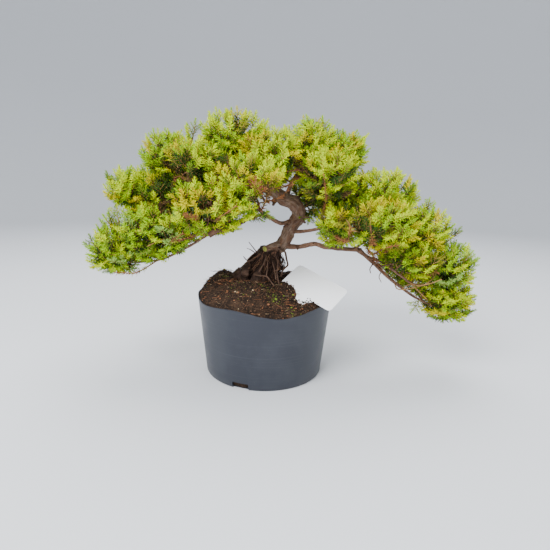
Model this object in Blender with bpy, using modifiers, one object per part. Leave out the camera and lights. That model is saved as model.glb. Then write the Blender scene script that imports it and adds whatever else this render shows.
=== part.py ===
"""Juniper bonsai in a cut-down nursery pot.

A small spreading juniper stands on its exposed roots in a round plastic pot.  Its trunk leans to
the right, doubles back to the left and runs up into the crown, and long arms hang to both sides.
Metres, +Z up.  The origin is the middle of the pot's flat underside, +X is the side of the longer
arm, and -Y is the side where the trunk shows.
"""

import math
import random

import bmesh
import bpy
from mathutils import Matrix, Vector, noise

MM = 0.001
GAP = 0.0003                       # clearance between pieces that touch

# Pot: a tapered plastic pot whose top was cut off by hand
POT_BASE_RADIUS = 0.0768
POT_TAPER = 0.105                  # growth of the radius for each metre of height
POT_WALL = 0.0012
POT_FOOT_CHAMFER = 0.0020
POT_STEPS = 42
RIM_HEIGHT = 0.0990
RIM_WAVES = ((2, 0.0025, 22.0), (5, 0.0027, 32.0))    # waves round the rim, height, phase in degrees
DRAIN_SLOTS = 3
DRAIN_ANGLE = -110.0
DRAIN_SIZE = (0.015, 0.014, 0.009)

# Potting soil, heaped to a dome inside the pot
SOIL_RISE = 0.028                  # height of the dome over its edge
SOIL_BELOW_RIM = 0.0015
SOIL_STEPS = 30
SOIL_RINGS = (1.0, 0.90, 0.74, 0.54, 0.28)
SOIL_STEEP_SIDE = 150.0            # degrees: the side where the dome falls off late and steeply
SOIL_LUMP = 0.0015                 # height of the lumps on the dome
SOIL_LUMPS_PER_METRE = 60.0
SOIL_MOUND = ((-0.052, 0.012), 0.020, 0.0045)   # a heap beside the roots: place, reach and height
SOIL_FOOT = 0.008                  # height where the plug meets the pot's wall

# Level seat in the soil that the root flare stands on
SEAT = Vector((-0.0075, 0.008, 0.1205))
SEAT_RADIUS = 0.030
SEAT_BLEND = 0.018                 # width over which the soil rises from the seat to the dome
FLARE_TOP = Vector((0.0055, 0.006, 0.161))
FLARE_TOP_RADIUS = 0.0130
FLARE_FOOT_RADIUS = 0.022
FLARE_SINK = 0.004                 # depth of the flare before its foot is cut level
ROOT_COUNT = 9
ROOT_RADII = (0.0036, 0.0022)
ROOT_REACH = (0.0015, 0.0050)      # how far a root's foot stands out of the flare's

# Plant label: a blank card with a stake that is pushed into the soil
LABEL_HEAD = (0.075, 0.037)
LABEL_CORNER = 0.0050
LABEL_STAKE = (0.020, 0.030)
LABEL_FILLET = 0.0070
LABEL_THICKNESS = 0.0008
LABEL_MIDDLE = Vector((0.0606, -0.0284, 0.1179))      # middle of the card's head
LABEL_ALONG = Vector((0.775, -0.544, -0.308))         # along the head's long edge
LABEL_DOWN = Vector((-0.629, -0.614, -0.476))         # from the head down the stake

# Limbs: name, the limb it grows on, radius at its foot and tip (mm), joints of its route (mm)
TRUNK_ROUTE = ((8, 7, 146), (13, 8, 159), (23, 9, 169), (29, 10, 187), (37, 6, 204), (31, 1, 218),
               (20, 0, 227), (3, 0, 240), (-15, 2, 259), (-32, 2, 279))
TRUNK_RADII = (8.6, 8.4, 8.4, 9.0, 8.6, 6.8, 4.6, 3.0)
STUB_ROUTE = ((18, 8, 164), (9, -1, 165), (-1, -12, 163))
STUB_RADII = (6.0, 3.8)
LIMBS = (
    ("bough_right_low", "trunk", 3.1, 2.3,
     ((24, 8, 165), (44, 1, 165), (61, -5, 170), (77, -10, 167), (101, -15, 166), (121, -15, 165))),
    ("bough_right_drop", "bough_right_low", 2.4, 1.4,
     ((118, -15, 165), (136, -14, 150), (156, -10, 132), (180, -4, 114), (200, -2, 101),
      (220, -5, 92))),
    ("bough_right_drop_upper", "bough_right_drop", 1.9, 1.2,
     ((129, -15, 156), (147, -19, 151), (168, -21, 137), (188, -20, 124), (208, -17, 122))),
    ("bough_right_rise", "bough_right_low", 1.6, 1.2,
     ((112, -15, 166), (122, -24, 177), (127, -36, 184))),
    ("bough_right_mid", "trunk", 2.5, 1.8,
     ((31, 9, 183), (43, 0, 185), (54, -14, 188), (68, -28, 193))),
    ("bough_right_upper", "trunk", 3.0, 1.8,
     ((24, 0, 224), (31, 2, 246), (42, 4, 262), (48, 6, 281))),
    ("bough_right_point", "bough_right_upper", 1.8, 1.2,
     ((38, 3, 257), (62, 10, 266), (88, 17, 282))),
    ("bough_right_front", "bough_right_upper", 1.6, 1.2,
     ((32, 2, 248), (42, -12, 254), (52, -26, 257))),
    ("bough_right_inner", "trunk", 2.2, 1.5,
     ((35, 4, 210), (48, 14, 215), (60, 23, 220))),
    ("bough_right_shoulder", "bough_right_inner", 1.9, 1.3,
     ((52, 17, 217), (76, 4, 238), (112, 8, 240))),
    ("bough_right_knee", "bough_right_drop_upper", 1.5, 1.1,
     ((158, -20, 144), (172, -10, 155), (184, -9, 167))),
    ("bough_right_under", "bough_right_drop", 1.3, 1.0,
     ((143, -13, 143), (148, -22, 147), (154, -29, 150))),
    ("bough_left_front", "trunk", 2.7, 2.1,
     ((32, 7, 197), (19, -10, 196), (8, -25, 202), (-5, -40, 212), (-10, -48, 219))),
    ("bough_crown_front", "bough_left_front", 1.7, 1.3,
     ((-8, -45, 216), (-8, -52, 221), (-9, -58, 225))),
    ("bough_front_left", "bough_left_front", 1.7, 1.3,
     ((-7, -43, 214), (-22, -50, 213), (-39, -62, 212))),
    ("bough_left_low", "bough_left_front", 1.9, 1.5,
     ((-2, -36, 209), (-22, -42, 202), (-46, -47, 188), (-74, -47, 184), (-108, -48, 183))),
    ("bough_left_tip", "bough_left_low", 1.5, 1.1,
     ((-66, -47, 185), (-92, -40, 168), (-125, -40, 152), (-156, -38, 147))),
    ("bough_left_upper", "trunk", 3.0, 1.8,
     ((-8, 1, 252), (-38, 2, 264), (-70, 5, 268), (-102, 8, 268))),
    ("bough_left_out", "bough_left_upper", 2.0, 1.3,
     ((-60, 4, 267), (-92, 4, 250), (-125, 4, 244), (-154, 2, 238))),
    ("bough_left_middle", "bough_left_out", 1.6, 1.2,
     ((-86, 4, 253), (-102, 0, 235), (-116, -4, 224))),
    ("bough_front_upper", "bough_left_upper", 1.9, 1.3,
     ((-27, 2, 260), (-38, -14, 258), (-50, -26, 256))),
    ("bough_crown_right", "trunk", 2.0, 1.4,
     ((-2, 0, 245), (1, -10, 258), (2, -18, 268))),
    ("bough_back_centre", "trunk", 2.4, 1.6,
     ((2, 0, 241), (-2, 24, 246), (-8, 48, 252))),
    ("bough_back_left", "trunk", 2.2, 1.5,
     ((-22, 2, 267), (-44, 28, 254), (-68, 52, 243))),
    ("bough_back_far_left", "bough_back_left", 1.7, 1.2,
     ((-52, 36, 250), (-92, 32, 226), (-138, 48, 205))),
    ("bough_back_right", "trunk", 2.4, 1.6,
     ((33, 3, 214), (40, 32, 226), (58, 56, 238))),
    ("bough_back_far_right", "bough_back_right", 1.8, 1.2,
     ((40, 30, 225), (82, 66, 212), (130, 68, 206))),
)
LIMB_SPAN_STEPS = 2                # straight pieces between two joints of a route
THICK_LIMB = 0.00700               # radius over which a limb has eight sides
THIN_LIMB = 0.00215                # radius under which a limb has four sides

# Foliage masses: name, the limb that carries it, middle and half sizes of its space (mm)
MASSES = (
    ("foliage_left_arm_tip", "bough_left_tip", (-181, -35, 163), (38, 38, 36)),
    ("foliage_left_arm", "bough_left_low", (-130, -44, 186), (50, 38, 38)),
    ("foliage_left_tip", "bough_left_out", (-171, 0, 235), (36, 42, 31)),
    ("foliage_left_middle", "bough_left_middle", (-136, -2, 225), (47, 42, 42)),
    ("foliage_left_shoulder", "bough_left_upper", (-123, 10, 276), (39, 46, 36)),
    ("foliage_front_left", "bough_front_left", (-60, -70, 219), (48, 38, 39)),
    ("foliage_front_upper", "bough_front_upper", (-78, -38, 262), (45, 40, 37)),
    ("foliage_apex", "trunk", (-39, 0, 299), (49, 46, 37)),
    ("foliage_crown_front", "bough_crown_front", (-15, -70, 240), (47, 38, 42)),
    ("foliage_crown_right", "bough_crown_right", (5, -25, 279), (44, 42, 35)),
    ("foliage_right_peak", "bough_right_upper", (51, 3, 292), (43, 44, 37)),
    ("foliage_right_point", "bough_right_point", (91, 12, 284), (40, 42, 33)),
    ("foliage_right_front", "bough_right_front", (72, -38, 257), (41, 36, 36)),
    ("foliage_right_inner", "bough_right_inner", (93, 28, 231), (38, 36, 34)),
    ("foliage_right_low", "bough_right_mid", (88, -40, 199), (34, 34, 32)),
    ("foliage_right_shoulder", "bough_right_shoulder", (144, 8, 234), (53, 48, 38)),
    ("foliage_right_middle", "bough_right_rise", (133, -48, 200), (50, 38, 37)),
    ("foliage_right_knee", "bough_right_knee", (195, -8, 187), (42, 44, 41)),
    ("foliage_right_arm", "bough_right_drop_upper", (230, -12, 145), (42, 40, 40)),
    ("foliage_right_arm_tip", "bough_right_drop", (238, -10, 102), (38, 36, 34)),
    ("foliage_right_under", "bough_right_under", (174, -33, 157), (45, 33, 32)),
    ("foliage_back_left", "bough_back_left", (-96, 72, 240), (48, 42, 37)),
    ("foliage_back_far_left", "bough_back_far_left", (-162, 62, 202), (44, 40, 34)),
    ("foliage_back_centre", "bough_back_centre", (-12, 74, 265), (52, 44, 40)),
    ("foliage_back_right", "bough_back_right", (76, 78, 248), (48, 42, 36)),
    ("foliage_back_far_right", "bough_back_far_right", (160, 70, 206), (48, 42, 36)),
)
SPACE_MARGIN = 0.05                # share of a mass's half size that it keeps from its neighbours
LIMB_MARGIN = 0.0010               # a twig or spray keeps this far from a limb it doesn't grow on
CORE_DEPTH = 0.015                 # how far the dense core of a mass lies under its skin
CORE_REACH = 0.85                  # no core reaches further out in its mass than this share
CORE_LEAST = 0.30                  # least size of a core, as a share of its mass
CORE_SMALLEST = 0.12               # smallest share that a core is drawn in to beside a neighbour
CORE_STEP = 0.04
CORE_ROUGHNESS = 0.16
TWIGS_PER_AREA = 700.0             # twigs for each square metre of a mass's skin
FEWEST_TWIGS = 7
SKIN_SHARES = (0.99, 0.92, 0.84)   # a spray ends on the skin, or as far in as it finds room
LIFT = 0.25                        # how strongly a spray turns upwards
SPRAY_STRAY = 0.25
SPRAY_LENGTH = 0.017
SPRAY_BARE = 0.34                  # share of a spray's core, at its root, that has no needles
SPRAY_CORE_RADIUS = 0.0024
NEEDLE_REACH = 0.0100
NEEDLE_LEAN = 0.0080               # how far a needle's point leans towards the spray's tip
SPRAY_REACH = SPRAY_LENGTH + 0.6 * NEEDLE_REACH
TWIG_RADII = (0.0016, 0.0009)
TWIG_SINK = 0.003                  # length of a twig inside its spray
SEED = 7


def new_object(name, mesh, collection):
    """Put a mesh in a new object in the given collection."""
    made = bpy.data.objects.new(name, mesh)
    collection.objects.link(made)
    return made


def mesh_from(bm, name):
    """Turn a bmesh into a mesh with its faces pointing out, and free it."""
    bmesh.ops.recalc_face_normals(bm, faces=bm.faces)
    mesh = bpy.data.meshes.new(name)
    bm.to_mesh(mesh)
    bm.free()
    return mesh


def keep_largest_body(mesh):
    """Drop every loose scrap of a mesh but its largest body."""
    bm = bmesh.new()
    bm.from_mesh(mesh)
    left = set(bm.verts)
    bodies = []
    while left:
        stack = [left.pop()]
        body = set(stack)
        while stack:
            for edge in stack.pop().link_edges:
                for vert in edge.verts:
                    if vert in left:
                        left.remove(vert)
                        body.add(vert)
                        stack.append(vert)
        bodies.append(body)
    bodies.sort(key=len, reverse=True)
    for scrap in bodies[1:]:
        bmesh.ops.delete(bm, geom=list(scrap), context="VERTS")
    bm.to_mesh(mesh)
    bm.free()


def boolean(target, operation, operand, solver="EXACT"):
    """Apply a Boolean to an object's mesh; the operand is an object or a collection."""
    modifier = target.modifiers.new("boolean", "BOOLEAN")
    modifier.operation = operation
    modifier.solver = solver
    if isinstance(operand, bpy.types.Collection):
        modifier.operand_type = "COLLECTION"
        modifier.collection = operand
    else:
        modifier.object = operand
    depsgraph = bpy.context.evaluated_depsgraph_get()
    mesh = bpy.data.meshes.new_from_object(target.evaluated_get(depsgraph))
    target.modifiers.clear()
    target.data = mesh
    keep_largest_body(mesh)


def remove(objects):
    """Remove helper objects."""
    for helper in list(objects):
        bpy.data.objects.remove(helper)


def make_material(name, colour, roughness):
    """A Principled material of one colour."""
    material = bpy.data.materials.new(name)
    material.use_nodes = True
    shader = material.node_tree.nodes["Principled BSDF"]
    shader.inputs["Base Color"].default_value = (*colour, 1.0)
    shader.inputs["Roughness"].default_value = roughness
    shader.inputs["Metallic"].default_value = 0.0
    material.diffuse_color = (*colour, 1.0)
    return material


# ---------------------------------------------------------------- pot and soil


def rim_height(angle):
    """Height of the hand-cut rim at an angle round the pot, in radians."""
    waves = (size * math.cos(count * (angle - math.radians(phase)))
             for count, size, phase in RIM_WAVES)
    return RIM_HEIGHT + sum(waves)


def pot_radius(height):
    """Outer radius of the pot's wall at a height."""
    return POT_BASE_RADIUS + POT_TAPER * height


def spin_profile(bm, profile, steps):
    """Turn a profile of (radius, height) points a full round about Z."""
    verts = [bm.verts.new((radius, 0.0, height)) for radius, height in profile]
    edges = [bm.edges.new(pair) for pair in zip(verts, verts[1:])]
    bmesh.ops.spin(bm, geom=verts + edges, cent=(0, 0, 0), axis=(0, 0, 1), angle=2 * math.pi,
                   steps=steps, use_merge=True)
    bmesh.ops.remove_doubles(bm, verts=bm.verts, dist=1e-6)


def build_pot(collection, cutters):
    """The pot: a turned shell with a wavy cut rim and drain slots in its lower edge."""
    top = RIM_HEIGHT
    profile = [(0.0, 0.0), (POT_BASE_RADIUS - POT_FOOT_CHAMFER, 0.0),
               (pot_radius(POT_FOOT_CHAMFER), POT_FOOT_CHAMFER), (pot_radius(top), top)]
    bm = bmesh.new()
    spin_profile(bm, profile, POT_STEPS)
    for vert in bm.verts:
        if vert.co.z > top / 2:
            angle = math.atan2(vert.co.y, vert.co.x)
            height = rim_height(angle)
            radius = pot_radius(height)
            vert.co = (radius * math.cos(angle), radius * math.sin(angle), height)
    pot = new_object("pot", mesh_from(bm, "pot"), collection)
    wall = pot.modifiers.new("wall", "SOLIDIFY")
    wall.thickness = POT_WALL
    wall.offset = -1.0
    wall.use_even_offset = True
    for number in range(DRAIN_SLOTS):
        angle = math.radians(DRAIN_ANGLE + number * 360.0 / DRAIN_SLOTS)
        bm = bmesh.new()
        bmesh.ops.create_cube(bm, size=1.0)
        slot = new_object(f"drain_cutter_{number + 1}", mesh_from(bm, "drain"), cutters)
        middle = (POT_BASE_RADIUS * math.cos(angle), POT_BASE_RADIUS * math.sin(angle), 0.0)
        slot.matrix_world = (Matrix.Translation(middle) @ Matrix.Rotation(angle, 4, "Z")
                             @ Matrix.Diagonal((DRAIN_SIZE[1], DRAIN_SIZE[0], DRAIN_SIZE[2], 1)))
        slot.hide_render = True
        slot.display_type = "WIRE"
        cut = pot.modifiers.new(f"drain {number + 1}", "BOOLEAN")
        cut.operation = "DIFFERENCE"
        cut.object = slot
    return pot


def soil_height(x, y):
    """Height of the heaped soil, with the level seat under the roots."""
    angle = math.atan2(y, x)
    edge = rim_height(angle) - SOIL_BELOW_RIM
    share = min(1.0, math.hypot(x, y) / (pot_radius(edge) - POT_WALL))
    power = 4.0 + 2.0 * math.cos(angle - math.radians(SOIL_STEEP_SIDE))
    heap = edge + SOIL_RISE * (1.0 - share ** power)
    lump = SOIL_LUMP * noise.noise(Vector((x, y, 0.0)) * SOIL_LUMPS_PER_METRE) * (1.0 - share ** 4)
    (mound_x, mound_y), mound_reach, mound_height = SOIL_MOUND
    mound_share = math.hypot(x - mound_x, y - mound_y) / mound_reach
    heap += mound_height * math.exp(-mound_share * mound_share)
    away = math.hypot(x - SEAT.x, y - SEAT.y) - SEAT_RADIUS
    blend = min(1.0, max(0.0, away / SEAT_BLEND))
    return SEAT.z + (heap + lump - SEAT.z) * blend


def build_soil(collection, helpers):
    """The soil: a plug that fills the pot and swells to a dome, with the label's slot and the seat."""
    floor = POT_WALL + GAP
    inner = pot_radius(floor) - POT_WALL - POT_FOOT_CHAMFER - GAP
    profile = [(0.0, floor), (inner, floor),
               (pot_radius(SOIL_FOOT) - POT_WALL - 2 * GAP, SOIL_FOOT)]
    edge_radius = pot_radius(RIM_HEIGHT) - POT_WALL - 2 * GAP
    profile += [(edge_radius * share, RIM_HEIGHT) for share in SOIL_RINGS] + [(0.0, RIM_HEIGHT)]
    bm = bmesh.new()
    spin_profile(bm, profile, SOIL_STEPS)
    for vert in bm.verts:
        if vert.co.z > RIM_HEIGHT / 2:
            radius = math.hypot(vert.co.x, vert.co.y)
            angle = math.atan2(vert.co.y, vert.co.x)
            height = soil_height(vert.co.x, vert.co.y)
            if radius > edge_radius * 0.99:
                radius = pot_radius(height) - POT_WALL - 2 * GAP
            vert.co = (radius * math.cos(angle), radius * math.sin(angle), height)
    soil = new_object("soil", mesh_from(bm, "soil"), collection)
    slot = label_solid("label_slot_cutter", helpers, GAP)
    bm = bmesh.new()
    bmesh.ops.create_cone(bm, segments=20, radius1=SEAT_RADIUS, radius2=SEAT_RADIUS,
                          depth=SOIL_RISE, cap_ends=True)
    bmesh.ops.translate(bm, verts=bm.verts, vec=SEAT + Vector((0, 0, SOIL_RISE / 2)))
    seat = new_object("seat_cutter", mesh_from(bm, "seat"), helpers)
    bpy.context.view_layer.update()
    for cutter in (slot, seat):
        boolean(soil, "DIFFERENCE", cutter)
    remove(helpers.objects)
    return soil


# ---------------------------------------------------------------- label


def arc(middle, radius, start, end, steps=4):
    """Points on an arc, both ends included; angles in degrees."""
    for step in range(steps + 1):
        angle = math.radians(start + (end - start) * step / steps)
        yield (middle[0] + radius * math.cos(angle), middle[1] + radius * math.sin(angle))


def label_outline():
    """Outline of the label, its head centred on the origin and its stake along -Y."""
    half_x = LABEL_HEAD[0] / 2 - LABEL_CORNER
    half_y = LABEL_HEAD[1] / 2 - LABEL_CORNER
    below = -LABEL_HEAD[1] / 2
    stake = LABEL_STAKE[0] / 2
    points = []
    points += arc((half_x, half_y), LABEL_CORNER, 0, 90)
    points += arc((-half_x, half_y), LABEL_CORNER, 90, 180)
    points += arc((-half_x, -half_y), LABEL_CORNER, 180, 270)
    points += arc((-stake - LABEL_FILLET, below - LABEL_FILLET), LABEL_FILLET, 90, 0)
    points.append((-stake * 0.6, below - LABEL_STAKE[1]))
    points.append((stake * 0.6, below - LABEL_STAKE[1]))
    points += arc((stake + LABEL_FILLET, below - LABEL_FILLET), LABEL_FILLET, 180, 90)
    points += arc((half_x, -half_y), LABEL_CORNER, 270, 360)
    return points


def label_solid(name, collection, clearance):
    """The label as a plate, or swollen by a clearance as the cutter for its slot."""
    bm = bmesh.new()
    verts = [bm.verts.new((x, y, 0.0)) for x, y in label_outline()]
    face = bm.faces.new(verts)
    raised = bmesh.ops.extrude_face_region(bm, geom=[face])
    top = [item for item in raised["geom"] if isinstance(item, bmesh.types.BMVert)]
    bmesh.ops.translate(bm, verts=top, vec=(0, 0, LABEL_THICKNESS))
    bmesh.ops.translate(bm, verts=bm.verts, vec=(0, 0, -LABEL_THICKNESS / 2))
    bmesh.ops.recalc_face_normals(bm, faces=bm.faces)
    if clearance:
        bm.normal_update()
        for vert in bm.verts:
            side = -1.0 if vert.co.z < 0 else 1.0
            across = Vector((vert.normal.x, vert.normal.y, 0.0)).normalized()
            vert.co += across * clearance + Vector((0, 0, side * clearance))
    label = new_object(name, mesh_from(bm, name), collection)
    along = LABEL_ALONG.normalized()
    up = -(LABEL_DOWN - along * LABEL_DOWN.dot(along)).normalized()
    facing = along.cross(up)
    turn = Matrix((along, up, facing)).transposed().to_4x4()
    label.matrix_world = Matrix.Translation(LABEL_MIDDLE) @ turn
    return label


# ---------------------------------------------------------------- trunk and limbs


def smooth_route(joints, steps):
    """Points on a smooth curve through the joints, in metres."""
    joints = [Vector(joint) * MM for joint in joints]
    ends = [2 * joints[0] - joints[1]] + joints + [2 * joints[-1] - joints[-2]]
    route = []
    for before, start, end, after in zip(ends, ends[1:], ends[2:], ends[3:]):
        for step in range(steps):
            t = step / steps
            route.append(0.5 * (2 * start + (end - before) * t
                                + (2 * before - 5 * start + 4 * end - after) * t ** 2
                                + (3 * start - before - 3 * end + after) * t ** 3))
    return route + [joints[-1]]


def tapered(route, radii):
    """Radius at each point of a route, from the radii at even steps of its length."""
    lengths = [0.0]
    for start, end in zip(route, route[1:]):
        lengths.append(lengths[-1] + (end - start).length)
    swell = []
    for length in lengths:
        step = length / lengths[-1] * (len(radii) - 1)
        first = min(int(step), len(radii) - 2)
        swell.append(radii[first] + (radii[first + 1] - radii[first]) * (step - first))
    return swell


def tube(name, collection, route, radii, sides):
    """A closed tapering tube along a route, as a mesh object."""
    curve = bpy.data.curves.new(name, "CURVE")
    curve.dimensions = "3D"
    curve.bevel_depth = 1.0
    curve.bevel_resolution = (sides - 4) // 2
    curve.use_fill_caps = True
    spline = curve.splines.new("POLY")
    spline.points.add(len(route) - 1)
    for point, place, radius in zip(spline.points, route, radii):
        point.co = (*place, 1.0)
        point.radius = radius
    source = new_object(name + "_curve", curve, collection)
    depsgraph = bpy.context.evaluated_depsgraph_get()
    mesh = bpy.data.meshes.new_from_object(source.evaluated_get(depsgraph))
    bpy.data.objects.remove(source)
    bm = bmesh.new()
    bm.from_mesh(mesh)
    bmesh.ops.remove_doubles(bm, verts=bm.verts, dist=1e-6)
    bpy.data.meshes.remove(mesh)
    return new_object(name, mesh_from(bm, name), collection)


def limb_sides(radii):
    """Sides of a limb's tube: fewer on a thin one."""
    if radii[0] > THICK_LIMB:
        return 8
    return 6 if radii[0] > THIN_LIMB else 4


def clearance_tube(helpers, shape, clearance, beyond=0.0):
    """A cutter that is a limb swollen by a clearance, and longer at its tip."""
    route, radii, _ = shape
    forward = (route[-1] - route[-2]).normalized()
    swollen = [radius + clearance for radius in radii]
    return tube("clearance", helpers, route[:-1] + [route[-1] + forward * beyond], swollen,
                limb_sides(radii))


def limb_shapes():
    """Route and radii of the trunk, its stub and every bough, by name."""
    shapes = {}
    listed = [("trunk", None, TRUNK_RADII, TRUNK_ROUTE), ("stub", "trunk", STUB_RADII, STUB_ROUTE)]
    listed += [(name, carrier, (foot, tip), joints) for name, carrier, foot, tip, joints in LIMBS]
    for name, carrier, radii, joints in listed:
        route = smooth_route(joints, LIMB_SPAN_STEPS)
        shapes[name] = (route, tapered(route, [radius * MM for radius in radii]), carrier)
    return shapes


def root_flare(collection):
    """The fibrous cone of roots under the trunk, with thicker roots down its sides."""
    foot = SEAT - Vector((0, 0, FLARE_SINK))
    bm = bmesh.new()
    bmesh.ops.create_cone(bm, segments=12, radius1=FLARE_FOOT_RADIUS, radius2=FLARE_TOP_RADIUS,
                          depth=1.0, cap_ends=True)
    for vert in bm.verts:
        vert.co = foot.lerp(FLARE_TOP, vert.co.z + 0.5) + Vector((vert.co.x, vert.co.y, 0.0))
    new_object("flare", mesh_from(bm, "flare"), collection)
    random_source = random.Random(SEED)
    for number in range(ROOT_COUNT):
        angle = 2 * math.pi * (number + random_source.uniform(-0.3, 0.3)) / ROOT_COUNT
        out = Vector((math.cos(angle), math.sin(angle), 0.0))
        reach = FLARE_FOOT_RADIUS + random_source.uniform(*ROOT_REACH)
        joints = (FLARE_TOP + out * FLARE_TOP_RADIUS * 0.6,
                  SEAT.lerp(FLARE_TOP, 0.5) + out * FLARE_FOOT_RADIUS * 0.8,
                  foot + out * reach)
        route = smooth_route([joint / MM for joint in joints], LIMB_SPAN_STEPS)
        tube(f"root_{number}", collection, route, tapered(route, ROOT_RADII), 4)


def build_trunk(collection, helpers, shapes):
    """The trunk with its cut stub and root flare, in one body with a level foot."""
    limbs = {}
    for name, where in (("trunk", collection), ("stub", helpers)):
        route, radii, _ = shapes[name]
        limbs[name] = tube(name, where, route, radii, limb_sides(radii))
    trunk = limbs["trunk"]
    root_flare(helpers)
    boolean(trunk, "UNION", helpers)
    remove(helpers.objects)
    bm = bmesh.new()
    bmesh.ops.create_cube(bm, size=0.1)
    bmesh.ops.translate(bm, verts=bm.verts, vec=(SEAT.x, SEAT.y, SEAT.z + GAP - 0.05))
    ground = new_object("ground_cutter", mesh_from(bm, "ground"), helpers)
    boolean(trunk, "DIFFERENCE", ground)
    remove(helpers.objects)
    return trunk


def build_boughs(collection, helpers, shapes):
    """Every bough, cut at its foot to sit just clear of the limb that it grows on."""
    boughs = []
    for name, carrier, *_ in LIMBS:
        route, radii, _ = shapes[name]
        bough = tube(name, collection, route, radii, limb_sides(radii))
        carriers = ("trunk", "stub") if carrier == "trunk" else (carrier,)
        for each in carriers:
            boolean(bough, "DIFFERENCE", clearance_tube(helpers, shapes[each], 1.2 * GAP))
        remove(helpers.objects)
        boughs.append(bough)
    return boughs


# ---------------------------------------------------------------- foliage


class Space:
    """The room that one foliage mass may fill: an ellipsoid, shared fairly with its neighbours."""

    def __init__(self, name, limb, middle, half):
        self.name = name
        self.limb = limb
        self.middle = Vector(middle) * MM
        self.half = Vector(half) * MM
        self.neighbours = []
        self.limbs = []

    def depth(self, point):
        """0 at the middle of the space and 1 on its skin."""
        away = point - self.middle
        return Vector((away.x / self.half.x, away.y / self.half.y, away.z / self.half.z)).length

    def skin(self, direction, share=1.0):
        """The point at a share of the way from the middle to the skin."""
        return self.middle + Vector(a * b for a, b in zip(direction, self.half)) * share

    def outward(self, direction):
        """The way that the skin faces where a direction meets it."""
        return Vector(a / b for a, b in zip(direction, self.half)).normalized()

    def reach_of(self, route):
        """How near to the middle a limb's route comes, as a share of the way to the skin."""
        return min(self.depth(start.lerp(end, share / 4))
                   for start, end in zip(route, route[1:]) for share in range(5))

    def meet(self, spaces, shapes):
        """Note the neighbours and the limbs that come near."""
        size = max(self.half)
        self.neighbours = [other for other in spaces if other is not self
                           and (other.middle - self.middle).length < size + max(other.half)]
        self.limbs = [shape for shape in shapes.values() if self.reach_of(shape[0]) < 1.15]

    def holds(self, point, margin=SPACE_MARGIN):
        """Whether a point lies in this space and clear of every neighbour's."""
        own = self.depth(point)
        return own <= 1.0 and all(own + margin < other.depth(point) for other in self.neighbours)


def clear_of_limbs(point, limbs, margin):
    """Whether a point keeps a distance from every limb listed."""
    for route, radii, _ in limbs:
        for start, end, near, far in zip(route, route[1:], radii, radii[1:]):
            along = end - start
            t = max(0.0, min(1.0, (point - start).dot(along) / along.length_squared))
            if (point - start - along * t).length < near + (far - near) * t + margin:
                return False
    return True


def even_directions(count, turn):
    """Directions spread evenly over a sphere."""
    golden = math.pi * (3.0 - math.sqrt(5.0))
    for number in range(count):
        z = 1.0 - (2 * number + 1) / count
        ring = math.sqrt(1.0 - z * z)
        angle = golden * number + turn
        yield Vector((ring * math.cos(angle), ring * math.sin(angle), z))


def spray_mesh():
    """A spray: a slim three-sided core along +Z with needles standing out of it."""
    bm = bmesh.new()
    bmesh.ops.create_cone(bm, segments=3, radius1=SPRAY_CORE_RADIUS, radius2=SPRAY_CORE_RADIUS / 2,
                          depth=SPRAY_LENGTH, cap_ends=True)
    bmesh.ops.translate(bm, verts=bm.verts, vec=(0, 0, SPRAY_LENGTH / 2))
    bare = SPRAY_LENGTH * SPRAY_BARE
    geometry = bm.verts[:] + bm.edges[:] + bm.faces[:]
    bmesh.ops.bisect_plane(bm, geom=geometry, plane_co=(0, 0, bare), plane_no=(0, 0, 1))
    leafy = [face for face in bm.faces if face.calc_center_median().z > bare]
    points = bmesh.ops.poke(bm, faces=leafy, offset=NEEDLE_REACH)["verts"]
    bmesh.ops.translate(bm, verts=points, vec=(0, 0, NEEDLE_LEAN))
    for point in points:
        if Vector(point.co.xy).length < SPRAY_CORE_RADIUS:
            point.co.z = SPRAY_REACH
    bmesh.ops.triangulate(bm, faces=bm.faces)
    return mesh_from(bm, "spray")


def core_mesh(space):
    """The dense heart of a mass: a rough ball, drawn in where a neighbour or a limb is near."""
    bm = bmesh.new()
    bmesh.ops.create_icosphere(bm, subdivisions=2, radius=1.0)
    for vert in bm.verts:
        direction = vert.co.normalized()
        rough = 1.0 + CORE_ROUGHNESS * noise.noise(direction * 1.7 + space.middle * 40.0)
        size = (space.skin(direction) - space.middle).length
        share = rough * max(CORE_LEAST, 1.0 - CORE_DEPTH / size)
        place = space.skin(direction, share)
        while share > CORE_SMALLEST and not (space.holds(place, 2 * SPACE_MARGIN)
                                    and clear_of_limbs(place, space.limbs, 3 * LIMB_MARGIN)):
            share -= CORE_STEP
            place = space.skin(direction, share)
        vert.co = place
    return mesh_from(bm, "core")


def stem_route(space, shapes):
    """The stem of a mass: from just clear of its limb's tip to the middle of its space."""
    route, _, _ = shapes[space.limb]
    forward = (route[-1] - route[-2]).normalized()
    start = route[-1] + forward * GAP
    return [start, start + forward * 0.003, space.middle]


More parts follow.
